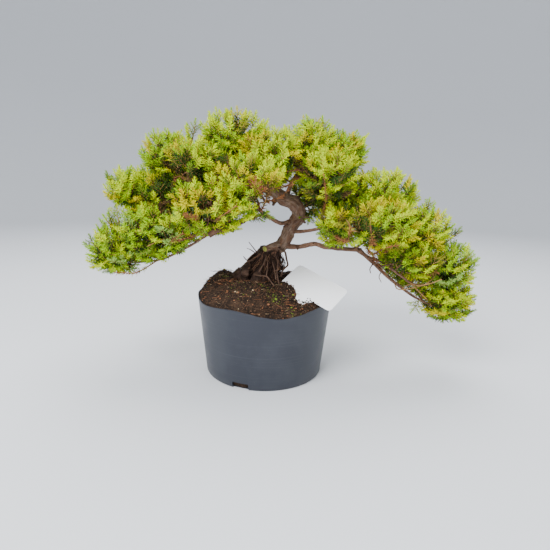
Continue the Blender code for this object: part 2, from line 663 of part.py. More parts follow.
def place_sprays(space, spray, helpers, random_source):
    """Twigs that fork from the stem's end, each with a spray that reaches the mass's skin."""
    outline = [vert.co for vert in spray.vertices]
    outline += [spray.vertices[edge.vertices[0]].co.lerp(spray.vertices[edge.vertices[1]].co, t)
                for edge in spray.edges for t in (0.25, 0.5, 0.75)]
    half = space.half
    area = 4 * math.pi * (half.x * half.y + half.y * half.z + half.z * half.x) / 3
    twigs = max(FEWEST_TWIGS, round(area * TWIGS_PER_AREA))
    for direction in even_directions(twigs, random_source.uniform(0, 2 * math.pi)):
        stray = Vector(random_source.uniform(-SPRAY_STRAY, SPRAY_STRAY) for _ in range(3))
        facing = space.outward(direction) + stray + Vector((0, 0, LIFT))
        turn = facing.normalized().to_track_quat("Z", "Y").to_matrix().to_4x4()
        turn = turn @ Matrix.Rotation(random_source.uniform(0, 2 * math.pi), 4, "Z")
        for share in SKIN_SHARES:
            tip = space.skin(direction, share)
            root = tip - facing.normalized() * SPRAY_REACH
            place = Matrix.Translation(root) @ turn
            points = [place @ point for point in outline]
            if all(space.holds(point) for point in points) and all(
                    clear_of_limbs(point, space.limbs, LIMB_MARGIN) for point in points):
                made = new_object("spray", spray, helpers)
                made.matrix_world = place
                tube("twig", helpers, [space.middle, root + facing.normalized() * TWIG_SINK],
                     TWIG_RADII, sides=4)
                break


def build_foliage(collection, helpers, shapes):
    """Every foliage mass: stem, twigs, sprays and dense core joined into one body."""
    spaces = [Space(*row) for row in MASSES]
    spray = spray_mesh()
    masses = []
    for number, space in enumerate(spaces):
        random_source = random.Random(SEED * 100 + number)
        space.meet(spaces, shapes)
        mass = new_object(space.name, core_mesh(space), collection)
        for shape in space.limbs:
            if space.reach_of(shape[0]) < CORE_REACH:
                cutter = clearance_tube(helpers, shape, LIMB_MARGIN, LIMB_MARGIN)
                boolean(mass, "DIFFERENCE", cutter)
                remove(helpers.objects)
        route = stem_route(space, shapes)
        tip_radius = shapes[space.limb][1][-1]
        tube("stem", helpers, route, [tip_radius, tip_radius, TWIG_RADII[0]], 4)
        place_sprays(space, spray, helpers, random_source)
        bpy.context.view_layer.update()
        boolean(mass, "UNION", helpers)
        remove(helpers.objects)
        masses.append(mass)
    return masses


# ---------------------------------------------------------------- assembly


def main():
    """Build the whole plant."""
    for old in list(bpy.data.objects):
        bpy.data.objects.remove(old)
    scene = bpy.context.scene
    plant = bpy.data.collections.new("juniper_bonsai")
    cutters = bpy.data.collections.new("cutters")
    helpers = bpy.data.collections.new("helpers")
    for collection in (plant, cutters, helpers):
        scene.collection.children.link(collection)

    shapes = limb_shapes()
    pot = build_pot(plant, cutters)
    soil = build_soil(plant, helpers)
    label = label_solid("label", plant, 0.0)
    trunk = build_trunk(plant, helpers, shapes)
    boughs = build_boughs(plant, helpers, shapes)
    masses = build_foliage(plant, helpers, shapes)
    bpy.data.collections.remove(helpers)

    pot.data.materials.append(make_material("pot_plastic", (0.030, 0.034, 0.040), 0.45))
    soil.data.materials.append(make_material("soil", (0.055, 0.033, 0.022), 0.95))
    label.data.materials.append(make_material("label_plastic", (0.80, 0.83, 0.88), 0.40))
    bark = make_material("bark", (0.20, 0.115, 0.075), 0.85)
    for limb in [trunk] + boughs:
        limb.data.materials.clear()
        limb.data.materials.append(bark)
    needles = make_material("needles", (0.33, 0.48, 0.05), 0.60)
    for mass in masses:
        mass.data.materials.clear()
        mass.data.materials.append(needles)
    for piece in [pot, soil] + [trunk] + boughs:
        piece.data.shade_smooth()
        piece.data.set_sharp_from_angle(angle=math.radians(40))


main()
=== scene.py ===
"""Looks of a juniper bonsai: needles, twigs, bark, roots, potting mix, pot and label in a studio.

Laid out as an add-on.  Each group of pieces has its own operator, and the sizes and colours that
a user would change are properties of the scene.  Lengths are in metres unless a comment says mm.
"""

import math
import random

import bmesh
import bpy
import numpy as np
from bpy.props import FloatProperty, FloatVectorProperty, IntProperty, PointerProperty
from mathutils import Matrix, Vector, noise


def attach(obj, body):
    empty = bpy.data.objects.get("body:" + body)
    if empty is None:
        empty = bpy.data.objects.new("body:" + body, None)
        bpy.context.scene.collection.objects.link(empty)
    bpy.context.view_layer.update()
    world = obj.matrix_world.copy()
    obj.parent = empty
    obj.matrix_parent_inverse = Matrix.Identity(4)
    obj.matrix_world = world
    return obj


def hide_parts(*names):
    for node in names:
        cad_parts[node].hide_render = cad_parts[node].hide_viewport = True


bl_info = {
    "name": "Juniper Bonsai Looks",
    "version": (1, 0, 0),
    "blender": (4, 5, 0),
    "location": "3D View > Sidebar > Juniper",
    "description": "Needles, bark, roots, soil, pot and label of a small potted juniper",
    "category": "Object",
}

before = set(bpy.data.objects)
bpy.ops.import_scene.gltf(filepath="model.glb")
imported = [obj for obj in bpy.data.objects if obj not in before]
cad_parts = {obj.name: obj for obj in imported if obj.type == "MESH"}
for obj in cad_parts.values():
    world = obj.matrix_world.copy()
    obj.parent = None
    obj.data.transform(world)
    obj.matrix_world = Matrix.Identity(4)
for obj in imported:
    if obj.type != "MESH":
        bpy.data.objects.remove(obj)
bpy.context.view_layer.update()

MM = 0.001
UP = Vector((0, 0, 1))
BODY = "root"
PIECE_TRIANGLES = 188500                    # a piece that holds more than this is closed
BOUGH_NODES = sorted(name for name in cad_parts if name.startswith("bough_"))
FOLIAGE_NODES = sorted(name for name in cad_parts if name.startswith("foliage_"))

# Pot
DRAIN_SLOTS = 3
DRAIN_ANGLE = -110.0                        # of the slot that faces the front, in degrees
DRAIN_SIZE = (0.0080, 0.0210, 0.0165)       # of the block that cuts a slot
DRAIN_CORNER = 0.0012
RIM_WAVES = (                               # waves round the rim, height, phase in degrees
    (2, 0.0025, 22.0),
    (5, 0.0027, 32.0),
)
RIM_ROUGHNESS = 0.0005
RIM_BEVEL = 0.00025
WALL_LEVELS = (0.10, 0.3, 0.5, 0.7, 0.9, 0.985)

# Soil
SOIL_SEED = 53
SOIL_RISE = 0.028
SOIL_BELOW_RIM = 0.0015
SOIL_STEEP_SIDE = 150.0                     # degrees
SOIL_LUMP = 0.0015
SOIL_LUMPS_PER_METRE = 60.0
SOIL_GAP = 0.0006                           # between the soil and the pot's wall
SOIL_FLOOR_GAP = 0.0003
SOIL_FOOT = 0.008                           # height where the soil meets the wall
SOIL_CRUMBS = ((0.0011, 0, 260.0), (0.0007, 3, 700.0))    # height, layer and number per metre
SOIL_MOUNDS = (                             # places, reaches and heights
    ((-0.052, 0.012), 0.020, 0.0045),
    ((0.0415, -0.0445), 0.014, -0.0072),    # the dip in front of the label
)
GRAIN_KINDS = (("dark", 0.42), ("brown", 0.36), ("red", 0.13), ("straw", 0.04), ("moss", 0.05))
GRAIN_SIZES = (-0.12, 0.52)                 # of a lognormal draw (mm)
GRAIN_LARGEST = 3.2
FIBRE_KINDS = ("brown", "brown", "red", "red", "straw", "dark", "dark")
SOIL_CHIPS = (                              # kind, place and size of the largest bits (mm)
    ("red", 6, -70, 5.0), ("straw", -34, -58, 3.6), ("red", -56, -30, 4.2), ("red", -44, -52, 3.2),
    ("straw", -62, 4, 3.4), ("red", -30, -60, 3.4), ("moss", -54, 6, 3.4), ("moss", -71, 26, 3.0),
    ("moss", -72, 27, 2.2), ("red", 38, -66, 3.4), ("red", 46, -64, 3.2), ("moss", 24, -48, 3.0),
    ("brown", 2, -48, 3.4), ("brown", -16, -52, 3.6), ("brown", 28, -74, 3.2),
)
MOSS_PATCHES = (                            # places and spreads
    ((0.015, -0.058), 0.0055), ((0.034, -0.072), 0.0040), ((-0.004, -0.036), 0.0045),
    ((0.010, -0.046), 0.0060), ((-0.052, -0.010), 0.0050), ((-0.030, -0.044), 0.0120),
)

# Label: a frame on its face, and the soil on it, along and up from its middle (mm)
LABEL_MIDDLE = Vector((0.0606, -0.0284, 0.1179))
LABEL_ALONG = Vector((0.775, -0.544, -0.308))
LABEL_DOWN = Vector((-0.629, -0.614, -0.476))
LABEL_MIDDLE_HEIGHT = 0.037                 # the height of head that the middle is set for
LABEL_BEVEL = 0.00015
LABEL_CRUMBS = (
    (8.2, -17.2), (10.3, -19.3), (5.3, -18.4), (6.6, -21.7), (9.6, -22.2), (-1.8, -29.3),
    (1.2, -28.2), (2.6, -26.0), (4.9, -27.0), (6.4, -25.0), (12.6, -19.5), (-4.3, -28.8),
    (-1.3, -26.9), (15.2, -19.5),
)

# Root flare
ROOT_SEED = 31
ROOT_STEP = 0.0013                          # between two rings of the flare
STRAND_STEP = 0.0011                        # between two rings of a loose root
SEAT = Vector((-0.0075, 0.008, 0.1205))     # level place in the soil under the roots
SEAT_RADIUS = 0.030
SEAT_BLEND = 0.018
SEAT_SINK = 0.003
FLARE_TOP = Vector((0.0055, 0.006, 0.161))
FLARE_TOP_RADIUS = 0.0130
FLARE_FOOT_RADIUS = 0.022
FIBRE_RADII = (0.00028, 0.00036, 0.0005, 0.0008, 0.0011)
FIBRE_STEPS = 8
ROOT_KNOB = Vector((-0.0245, -0.0155, 0.1317))
ROOT_KNOB_RADIUS = 0.0052

# Trunk and its cut stub: joints and radii (mm)
TRUNK_ROUTE = ((8, 7, 146), (13, 8, 159), (23, 9, 169), (31, 10, 187), (42, 6, 206), (35, 1, 220),
               (20, 0, 227), (3, 0, 240), (-15, 2, 259), (-32, 2, 279))
TRUNK_RADII = (8.6, 8.4, 8.4, 9.0, 8.6, 6.8, 4.6, 3.0)
STUB_ROUTE = ((18, 8, 164), (9, -1, 165), (-1, -12, 163))
STUB_RADII = (6.0, 3.8)
# Boughs: name, the limb that each grows on, radius at foot and tip (mm), joints (mm)
LIMBS = (
    ("right_low", "trunk", 3.1, 2.7,
     ((24, 8, 165), (44, 1, 165), (61, -5, 170), (77, -10, 167), (101, -15, 166),
      (121, -15, 165))),
    ("right_drop", "right_low", 2.4, 1.4,
     ((118, -15, 165), (136, -14, 150), (156, -10, 132), (180, -4, 114), (200, -2, 101),
      (220, -5, 92))),
    ("right_drop_upper", "right_drop", 1.9, 1.2,
     ((129, -15, 156), (147, -19, 151), (168, -21, 137), (188, -20, 124), (208, -17, 122))),
    ("right_rise", "right_low", 1.6, 1.2, ((112, -15, 166), (122, -24, 177), (127, -36, 184))),
    ("right_mid", "trunk", 2.5, 1.8, ((31, 9, 183), (43, 0, 185), (54, -14, 188), (68, -28, 193))),
    ("right_upper", "trunk", 3.0, 1.8, ((24, 0, 224), (31, 2, 246), (42, 4, 262), (48, 6, 281))),
    ("right_point", "right_upper", 1.8, 1.2, ((38, 3, 257), (62, 10, 266), (88, 17, 282))),
    ("right_front", "right_upper", 1.6, 1.2, ((32, 2, 248), (42, -12, 254), (52, -26, 257))),
    ("right_inner", "trunk", 2.2, 1.5, ((35, 4, 210), (48, 14, 215), (60, 23, 220))),
    ("right_shoulder", "right_inner", 1.9, 1.3, ((52, 17, 217), (76, 4, 238), (112, 8, 240))),
    ("right_knee", "right_drop_upper", 1.5, 1.1,
     ((158, -20, 144), (172, -10, 155), (184, -9, 167))),
    ("right_under", "right_drop", 1.3, 1.0, ((143, -13, 143), (148, -22, 147), (154, -29, 150))),
    ("left_front", "trunk", 2.7, 2.1,
     ((32, 7, 197), (19, -10, 196), (8, -25, 202), (-5, -40, 212), (-10, -48, 219))),
    ("crown_front", "left_front", 1.7, 1.3, ((-8, -45, 216), (-8, -52, 221), (-9, -58, 225))),
    ("front_left", "left_front", 1.7, 1.3, ((-7, -43, 214), (-22, -50, 213), (-39, -62, 212))),
    ("left_low", "left_front", 1.9, 1.5,
     ((-2, -36, 209), (-22, -42, 202), (-46, -47, 188), (-74, -47, 184), (-108, -48, 183))),
    ("left_tip", "left_low", 1.5, 1.1,
     ((-66, -47, 185), (-92, -40, 168), (-125, -40, 152), (-156, -38, 147))),
    ("left_upper", "trunk", 3.0, 1.8,
     ((-8, 1, 252), (-38, 2, 264), (-70, 5, 268), (-102, 8, 268))),
    ("left_out", "left_upper", 2.0, 1.3,
     ((-60, 4, 267), (-92, 4, 250), (-125, 4, 244), (-154, 2, 238))),
    ("left_middle", "left_out", 1.6, 1.2, ((-86, 4, 253), (-102, 0, 235), (-116, -4, 224))),
    ("front_upper", "left_upper", 1.9, 1.3, ((-27, 2, 260), (-38, -14, 258), (-50, -26, 256))),
    ("crown_right", "trunk", 2.0, 1.4, ((-2, 0, 245), (1, -10, 258), (2, -18, 268))),
    ("back_centre", "trunk", 2.4, 1.6, ((2, 0, 241), (-2, 24, 246), (-8, 48, 252))),
    ("back_left", "trunk", 2.2, 1.5, ((-22, 2, 267), (-44, 28, 254), (-68, 52, 243))),
    ("back_far_left", "back_left", 1.7, 1.2, ((-52, 36, 250), (-92, 32, 226), (-138, 48, 205))),
    ("back_right", "trunk", 2.4, 1.6, ((33, 3, 214), (40, 32, 226), (58, 56, 238))),
    ("back_far_right", "back_right", 1.8, 1.2, ((40, 30, 225), (82, 66, 212), (130, 68, 206))),
)

# Dead stubs and leafless twigs: radii at foot and tip (mm), joints (mm)
DEAD_TWIGS = (
    (1.5, 1.0, ((12, 2, 226), (9, -4, 224), (7, -8, 222))),
    (1.2, 0.9, ((61, -6, 168), (61, -8, 173))),
    (2.0, 1.2, ((45, 2, 201), (50, -1, 196))), (2.2, 1.3, ((11, -2, 224), (8, -8, 218))),
    (1.3, 0.9, ((41, 0, 166), (41, -4, 162))), (1.7, 1.1, ((27, -2, 193), (22, -6, 191))),
    (1.4, 1.0, ((113, -15, 166), (108, -24, 178), (102, -33, 190))),
    (1.1, 0.8, ((36, -2, 197), (45, -10, 203), (53, -16, 205))),
    (0.8, 0.5, ((-14, -47, 214), (-20, -58, 205), (-29, -62, 199))),
    (0.9, 0.5, ((-46, -47, 188), (-56, -55, 196), (-68, -60, 199))),
    (0.8, 0.5, ((138, -14, 149), (133, -17, 142), (134, -18, 136))),
    (0.7, 0.4, ((150, -11, 138), (146, -14, 131), (149, -16, 124))),
    (0.9, 0.5, ((30, 2, 246), (22, -8, 250), (15, -14, 252))),
    (2.2, 2.0, ((-26, -46, 201), (-36, -66, 195))),
    (3.5, 3.1, ((-36, -66, 195), (-46, -72, 194), (-54, -78, 192), (-61, -80, 187))),
)

# Roots that stand out of the flare: radii at foot and tip (mm), joints (mm)
LOOSE_ROOTS = (
    (1.5, 1.0, ((17, -2, 164), (25, -2, 158), (27, -4, 150), (29, -6, 143), (28, -8, 141),
                (23, -12, 136), (20, -14, 128))),
    (0.9, 0.6, ((-15, -8, 148), (-22, -10, 146), (-28, -8, 141), (-34, -6, 135))),
    (1.2, 0.8, ((1, -12, 154), (-1, -18, 147), (-4, -23, 142), (-8, -27, 136))),
    (0.8, 0.6, ((3, -16, 150), (3, -24, 141), (2, -31, 132))),
    (1.0, 0.7, ((-14, -22, 132), (-7, -29, 132), (2, -32, 132), (7, -34, 127), (12, -36, 121))),
    (0.9, 0.7, ((9, -14, 147), (12, -22, 138), (14, -28, 127))),
    (0.8, 0.4, ((-12, -4, 158), (-18, -6, 166), (-22, -6, 171))),
    (0.7, 0.4, ((-14, -6, 157), (-19, -8, 161), (-24, -9, 163))),
    (0.8, 0.5, ((-20, -9, 145), (-25, -11, 149), (-28, -12, 153))),
    (0.9, 0.6, ((12, -8, 156), (16, -17, 146), (15, -24, 134), (18, -30, 122))),
)
# Lumps of matted roots beside the flare, in the same form
ROOT_LUMPS = (
    (13.0, 5.0, ((-28, 2, 116), (-24, 2, 130), (-17, 3, 143))),
    (12.0, 7.5, ((-46, 4, 107), (-41, 4, 118), (-30, 4, 130))),
    (7.0, 3.0, ((-14, -18, 116), (-10, -14, 128), (-5, -8, 142))),
)

# Foliage masses: name, the limb that carries it, middle and half sizes of its space (mm), and
# its mood, which says how its sprays are coloured
MASSES = (
    ("left_arm_tip", "left_tip", (-181, -35, 163), (38, 38, 36), "silver"),
    ("left_arm", "left_low", (-130, -44, 187), (50, 38, 37), "silver"),
    ("left_tip", "left_out", (-171, 0, 235), (36, 42, 31), "fresh"),
    ("left_middle", "left_middle", (-136, -2, 225), (47, 42, 42), "olive"),
    ("left_shoulder", "left_upper", (-123, 10, 276), (39, 46, 36), "fresh"),
    ("front_left", "front_left", (-60, -70, 219), (48, 38, 39), "golden"),
    ("front_upper", "front_upper", (-78, -38, 262), (45, 40, 37), "fresh"),
    ("apex", "trunk", (-39, 0, 299), (49, 46, 37), "golden"),
    ("crown_front", "crown_front", (-15, -70, 240), (47, 38, 42), "golden"),
    ("crown_right", "crown_right", (5, -25, 279), (44, 42, 35), "golden"),
    ("right_peak", "right_upper", (51, 3, 292), (43, 44, 37), "golden"),
    ("right_point", "right_point", (91, 12, 284), (40, 42, 33), "fresh"),
    ("right_front", "right_front", (72, -38, 257), (41, 36, 36), "golden"),
    ("right_inner", "right_inner", (93, 28, 231), (38, 36, 34), "shaded"),
    ("right_low", "right_mid", (88, -40, 199), (34, 34, 32), "olive"),
    ("right_shoulder", "right_shoulder", (144, 8, 234), (53, 48, 38), "fresh"),
    ("right_middle", "right_rise", (133, -48, 200), (50, 38, 37), "olive"),
    ("right_knee", "right_knee", (195, -8, 187), (42, 44, 41), "fresh"),
    ("right_arm", "right_drop_upper", (230, -12, 145), (42, 40, 40), "silver"),
    ("right_arm_tip", "right_drop", (238, -10, 102), (38, 36, 34), "olive"),
    ("right_under", "right_under", (174, -33, 157), (45, 33, 32), "olive"),
    ("back_left", "back_left", (-96, 72, 240), (48, 42, 37), "fresh"),
    ("back_far_left", "back_far_left", (-162, 62, 202), (44, 40, 34), "fresh"),
    ("back_centre", "back_centre", (-12, 74, 265), (52, 44, 40), "golden"),
    ("back_right", "back_right", (76, 78, 248), (48, 42, 36), "fresh"),
    ("back_far_right", "back_far_right", (160, 70, 206), (48, 42, 36), "olive"),
)
LIMB_MARGIN = 0.0010                        # between needles and wood
SPRAY_LIFT = 0.55                           # how much the sprays turn up
OVERHANG = 0.0045                           # needles past the last shoot's tip
SQUARENESS = 2.5                            # 2 is an ellipsoid, more is boxier
SPACE_EDGE = 1.03                           # depth where a mass ends, 1 on its skin
LIMB_NEAR = 1.15                            # depth within which a limb counts as near
STEMS_PER_AREA = 700.0
SKIN_REACHES = (0.99, 0.93, 0.87, 0.81, 0.74, 0.66)     # tries for a spray, share of the way out
INNER_REACHES = (0.54, 0.45)
INNER_REACH = 0.55                          # sprays further in than this take the dull mood: dead needles and painted shade
SIDE_PLACES = (0.16, 0.30, 0.44, 0.58, 0.72)            # of the side shoots along the leader
TIP_PART = 0.0085                           # length of a shoot that has young needles
NEEDLE_WIDEST = 0.30                        # share of the needle from its foot
NEEDLE_FOLD = 0.7
NEEDLES_ROUND = 3
TIP_NEEDLES = 6
TIP_NEEDLE_SIZE = 0.48
TIP_SHRINK = 0.42                           # how much smaller the needles are at the tip
LEANS = (60.0, 29.0)                        # degrees off the shoot, and how much less at the tip
WHORL_STEPS = (0.0024, 0.0012)              # between whorls, and how much less at the tip
STEM_RADII = (0.00060, 0.00050, 0.00032)
BUD = (0.0008, 0.0002, 0.0022)              # radii and length
DARK_SIDE = -0.35                           # light below which a spray takes shaded colours
SHADED = {"lime": "fresh", "gold": "olive", "fresh": "mid"}
BUDDING = ("lime", "gold", "fresh")
LOWEST_SPRAY = 0.062

# Boughs that are leafy themselves: name, share of the bough where the sprays start, and mood
LEAFY_BOUGHS = (
    ("left_low", 0.52, "silver"), ("left_tip", 0.15, "silver"), ("left_out", 0.35, "fresh"),
    ("left_upper", 0.35, "fresh"), ("left_middle", 0.30, "olive"), ("front_left", 0.55, "golden"),
    ("front_upper", 0.40, "fresh"), ("right_drop", 0.30, "olive"),
    ("right_drop_upper", 0.15, "olive"), ("right_knee", 0.20, "fresh"),
    ("right_under", 0.30, "olive"), ("right_rise", 0.50, "olive"),
    ("right_shoulder", 0.40, "fresh"), ("right_point", 0.40, "fresh"),
    ("right_upper", 0.55, "olive"), ("right_inner", 0.15, "shaded"),
    ("back_left", 0.40, "fresh"), ("back_far_left", 0.25, "fresh"),
    ("back_right", 0.40, "fresh"), ("back_far_right", 0.25, "olive"),
)
BOUGH_SPRAY_STEP = 0.0030
BOUGH_REACH = 0.75                          # as open to the light as this reach in a mass

# Places where the crown is open or dead inside (mm): middle, the radius that no live spray enters,
# and the radius of dull colours: dead needles and painted shade
HOLLOWS = (
    ((-104, -50, 247), 19, 36), ((-78, -62, 244), 12, 26), ((-45, -64, 263), 7, 17),
    ((15, -74, 226), 21, 32), ((38, -47, 250), 10, 21), ((-92, -88, 186), 6, 15),
    ((93, -58, 248), 7, 19), ((92, -48, 261), 5, 13), ((95, -60, 235), 6, 15),
    ((94, -82, 191), 5, 13), ((101, -72, 196), 8, 18), ((60, -10, 226), 12, 30),
    ((118, -84, 190), 8, 17),
    ((39, -90, 241), 7, 7), ((41, -60, 240), 8, 8), ((43, -30, 240), 8, 8), ((45, 0, 240), 8, 8),
    ((47, 30, 239), 8, 8), ((48, 60, 239), 9, 9), ((50, 90, 239), 9, 9),
    ((3, -62, 217), 7, 7), ((2, -44, 216), 7, 7), ((2, -26, 215), 7, 7), ((1, -8, 214), 7, 7),
    ((-10, -72, 204), 6, 6), ((-11, -56, 202), 6, 6), ((-12, -40, 201), 6, 6),
    ((-68, -24, 333), 10, 10), ((-72, 0, 337), 10, 10), ((-76, 24, 342), 10, 10),
    ((-5, -38, 324), 9, 9), ((-5, -12, 328), 9, 9), ((-6, 14, 332), 9, 9), ((24, -34, 317), 6, 6),
    ((24, -14, 320), 6, 6), ((25, 6, 323), 6, 6), ((25, 26, 326), 6, 6), ((170, -20, 267), 8, 8),
    ((177, 2, 268), 8, 8), ((184, 24, 269), 8, 8), ((224, -14, 204), 5, 5), ((231, 2, 203), 5, 5),
    ((-205, -22, 227), 9, 9), ((-214, 0, 226), 9, 9), ((-223, 22, 226), 9, 9),
    ((-105, -70, 156), 8, 8), ((-110, -50, 152), 8, 8), ((-114, -34, 149), 8, 8),
    ((-118, -18, 146), 8, 8), ((-123, -2, 143), 8, 8), ((-122, -66, 149), 5, 5),
    ((-128, -48, 145), 5, 5), ((-133, -30, 141), 5, 5), ((-160, -66, 137), 4, 4),
    ((-167, -48, 133), 4, 4), ((-173, -30, 129), 4, 4),
    ((-1, -100, 222), 8, 9), ((-1, -82, 221), 8, 9), ((-2, -64, 220), 8, 9),
    ((-2, -46, 212), 8, 8), ((-3, -28, 211), 8, 8), ((-53, -92, 193), 7, 8),
    ((-51, -104, 194), 7, 8), ((-41, -88, 196), 6, 7), ((-40, -100, 197), 6, 7),
    ((-2, -10, 211), 8, 8), ((-3, 8, 210), 8, 8), ((-3, 26, 208), 8, 8), ((-4, 44, 207), 8, 8),
    ((-4, 62, 206), 8, 8),
)

# Boughs that stay in sight from the front, and the way towards whoever looks at them
OPEN_BOUGHS = ("right_drop", "right_drop_upper")
OPEN_WAY = Vector((-0.15, -0.96, 0.22))
OPEN_SIDE = Vector((0.0, 0.7, 0.9))         # where the sprays of these boughs turn instead
OPEN_RADIUS = 7.5                           # mm
OPEN_STEPS = (0.007, 0.014)                 # along the bough, and towards the front

# Old twigs in dead brown scales: limb, share of it where the twig starts, joints (mm)
SCALY_TWIGS = (
    ("crown_front", 0.9, ((-6, -72, 213), (1, -78, 227), (6, -78, 240))),
    ("crown_front", 0.6, ((8, -70, 224), (20, -68, 234), (30, -62, 243))),
    ("right_front", 0.5, ((32, -40, 247), (22, -55, 244), (8, -66, 236))),
    ("right_front", 0.7, ((38, -38, 258), (24, -50, 260), (12, -58, 256))),
    ("right_rise", 0.9, ((120, -72, 181), (115, -86, 196), (115, -84, 213))),
    ("right_rise", 0.5, ((123, -60, 168), (135, -72, 175), (148, -72, 181))),
    ("right_knee", 0.4, ((157, -44, 174), (160, -52, 189), (161, -52, 201))),
    ("right_mid", 0.9, ((70, -50, 222), (68, -66, 238), (64, -70, 253))),
    ("front_left", 0.9, ((-48, -98, 204), (-39, -104, 213), (-30, -104, 221))),
    ("left_low", 0.75, ((-99, -82, 182), (-90, -84, 192))),
    ("right_drop", 0.4, ((128, -46, 165), (139, -52, 170), (152, -54, 177))),
    ("right_mid", 1.0, ((88, -80, 186), (93, -92, 198))),
    ("left_tip", 0.7, ((-150, -52, 139), (-164, -58, 137), (-176, -60, 138))),
    ("left_out", 0.5, ((-112, -22, 246), (-104, -34, 250), (-92, -40, 246))),
    ("left_upper", 0.5, ((-70, -22, 258), (-80, -36, 254), (-88, -46, 246))),
)
# Stray sprays that stand out of the crown, in the same form with a mood at the end
STRAYS = (
    ("left_low", 0.95, ((-177, -40, 177), (-184, -38, 187)), "silver"),
    ("left_low", 0.9, ((-136, -38, 192), (-170, -36, 183), (-176, -35, 195)), "fresh"),
    ("left_upper", 0.45, ((-91, -4, 285), (-91, -6, 296)), "golden"),
    ("right_knee", 1.0, ((188, -6, 190), (195, -6, 199), (200, -4, 210)), "fresh"),
    ("right_knee", 0.9, ((208, -6, 172), (222, -6, 171), (234, -5, 179)), "fresh"),
    ("right_point", 1.0, ((100, 15, 284), (110, 13, 291)), "golden"),
    ("right_drop", 0.85, ((207, -9, 111), (203, -11, 102)), "shaded"),
    ("right_drop", 1.0, ((228, -7, 91), (236, -8, 90)), "shaded"),
    ("right_inner", 0.5, ((50, 12, 212), (53, 6, 211)), "shaded"),
    ("right_inner", 0.7, ((55, 10, 213), (60, 4, 208)), "shaded"),
)
STRAY_FANS = ((0.0, 0.0), (0.30, 0.9), (0.55, -0.9))    # share back from the tip, and spread
# Thin orange twigs without leaves, in the form of the scaly ones
BARE_TWIGS = (
    ("right_drop", 0.5, ((171, -24, 119), (198, -33, 124), (210, -38, 138))),
    ("right_drop", 0.6, ((183, -26, 126), (196, -30, 116), (205, -30, 107))),
    ("right_drop_upper", 0.7, ((186, -38, 128), (199, -46, 130), (211, -50, 136))),
    ("right_rise", 0.8, ((110, -52, 190), (101, -64, 196), (92, -68, 205))),
    ("right_mid", 0.9, ((80, -44, 196), (92, -60, 198), (104, -66, 192))),
    ("left_low", 0.9, ((-118, -62, 176), (-132, -70, 172))),
)

# How the sprays of a mood are shared out over the leaf colours, bright side first
MOODS = {
    "golden": (("lime", 0.60), ("gold", 0.22), ("fresh", 0.14), ("olive", 0.02), ("rust", 0.02)),
    "fresh": (("lime", 0.50), ("fresh", 0.32), ("gold", 0.10), ("mid", 0.07), ("rust", 0.01)),
    "olive": (("lime", 0.30), ("fresh", 0.26), ("gold", 0.20), ("olive", 0.16), ("mid", 0.06),
              ("rust", 0.02)),
    "silver": (("fresh", 0.40), ("lime", 0.34), ("silver", 0.16), ("mid", 0.09), ("rust", 0.01)),
    "shaded": (("mid", 0.36), ("fresh", 0.22), ("deep", 0.22), ("silver", 0.10), ("olive", 0.10)),
    # dull: dead brown needles and painted shade, deep inside a mass and round its hollows
    "dull": (("deep", 0.34), ("mid", 0.28), ("brown", 0.22), ("olive", 0.16)),
}
# Darker colour for the older needles below a shoot's tip, partly their own and partly painted
# shade, and the painted shade of the same spray where it is in the shade
UNDER = {**SHADED, "mid": "deep", "olive": "deep", "silver": "mid", "rust": "olive",
         "deep": "deep", "brown": "brown"}

# Stage
FLOOR_RADIUS = 2.2
FLOOR_SWEEP = 1.3                           # radius of the curve from floor to wall
WALL_TOP = 2.2
AIM = Vector((0.0, 0.0, 0.16))
LIGHTS = (                                  # name, setting for its power, place and size
    ("key_light", "key", (-0.75, -1.15, 1.35), 1.1),
    ("fill_light", "fill", (1.5, -0.9, 0.9), 1.2),
    ("top_light", "top", (0.1, 0.5, 1.7), 1.4),
)


# ---------------------------------------------------------------- sizes and colours


def length(name, description, default):
    """A length in metres that a user may change."""
    return FloatProperty(name=name, description=description, default=default, min=0.0,
                         precision=5, unit="LENGTH")


def share(name, description, default):
    """A share from nought to one."""
    return FloatProperty(name=name, description=description, default=default, min=0.0, max=1.0,
                         subtype="FACTOR")


def colour(name, description, default):
    """A colour that a user may change."""
    return FloatVectorProperty(name=name, description=description, default=default, size=3,
                               min=0.0, max=1.0, subtype="COLOR")


class FoliageSettings(bpy.types.PropertyGroup):
    """Sizes, number and colours of the needles."""

    seed: IntProperty(name="Seed", description="Start of the growth rule", default=7)
    needle_length: length("Needle length", "Length of a full needle", 0.0074)
    needle_width: length("Needle width", "Width of a needle at its widest", 0.00145)
    leader_length: length("Leader length", "Length of the middle shoot of a spray", 0.0250)
    side_length: length("Side shoot length", "Length of the first side shoot", 0.0140)
    sprays_per_area: FloatProperty(name="Sprays per area", default=3000.0, min=100.0,
                                   description="Sprays on each square metre of a mass's skin")
    inner_share: share("Inner sprays", "Sprays inside a mass, for each one on its skin", 0.14)
    bud_share: share("Buds", "Share of the shoots that end in an orange bud", 0.10)
    # Fresh, mid, olive and deep also serve as painted shade: the darker copies that SHADED and
    # UNDER give to sprays in the shade and to the older needles of each shoot
    lime: colour("Lime", "Young tips in the light", (0.61, 0.75, 0.002))
    gold: colour("Gold", "Yellowed needles", (0.65, 0.60, 0.004))
    fresh: colour("Fresh green", "Needles of this year", (0.38, 0.60, 0.008))
    mid: colour("Mid green", "Older needles", (0.20, 0.33, 0.022))
    deep: colour("Deep green", "Needles in the shade", (0.055, 0.11, 0.022))
    silver: colour("Silver green", "Needles that show their pale side", (0.36, 0.56, 0.12))
    olive: colour("Olive", "Needles that turn brown", (0.33, 0.34, 0.030))
    rust: colour("Rust", "Red brown dead scales", (0.32, 0.135, 0.055))
    brown: colour("Brown", "Dead needles inside the crown", (0.11, 0.066, 0.032))
    bud: colour("Bud", "Orange buds", (0.78, 0.30, 0.12))
    stem: colour("Spray stem", "Thin stems of the sprays", (0.46, 0.26, 0.09))


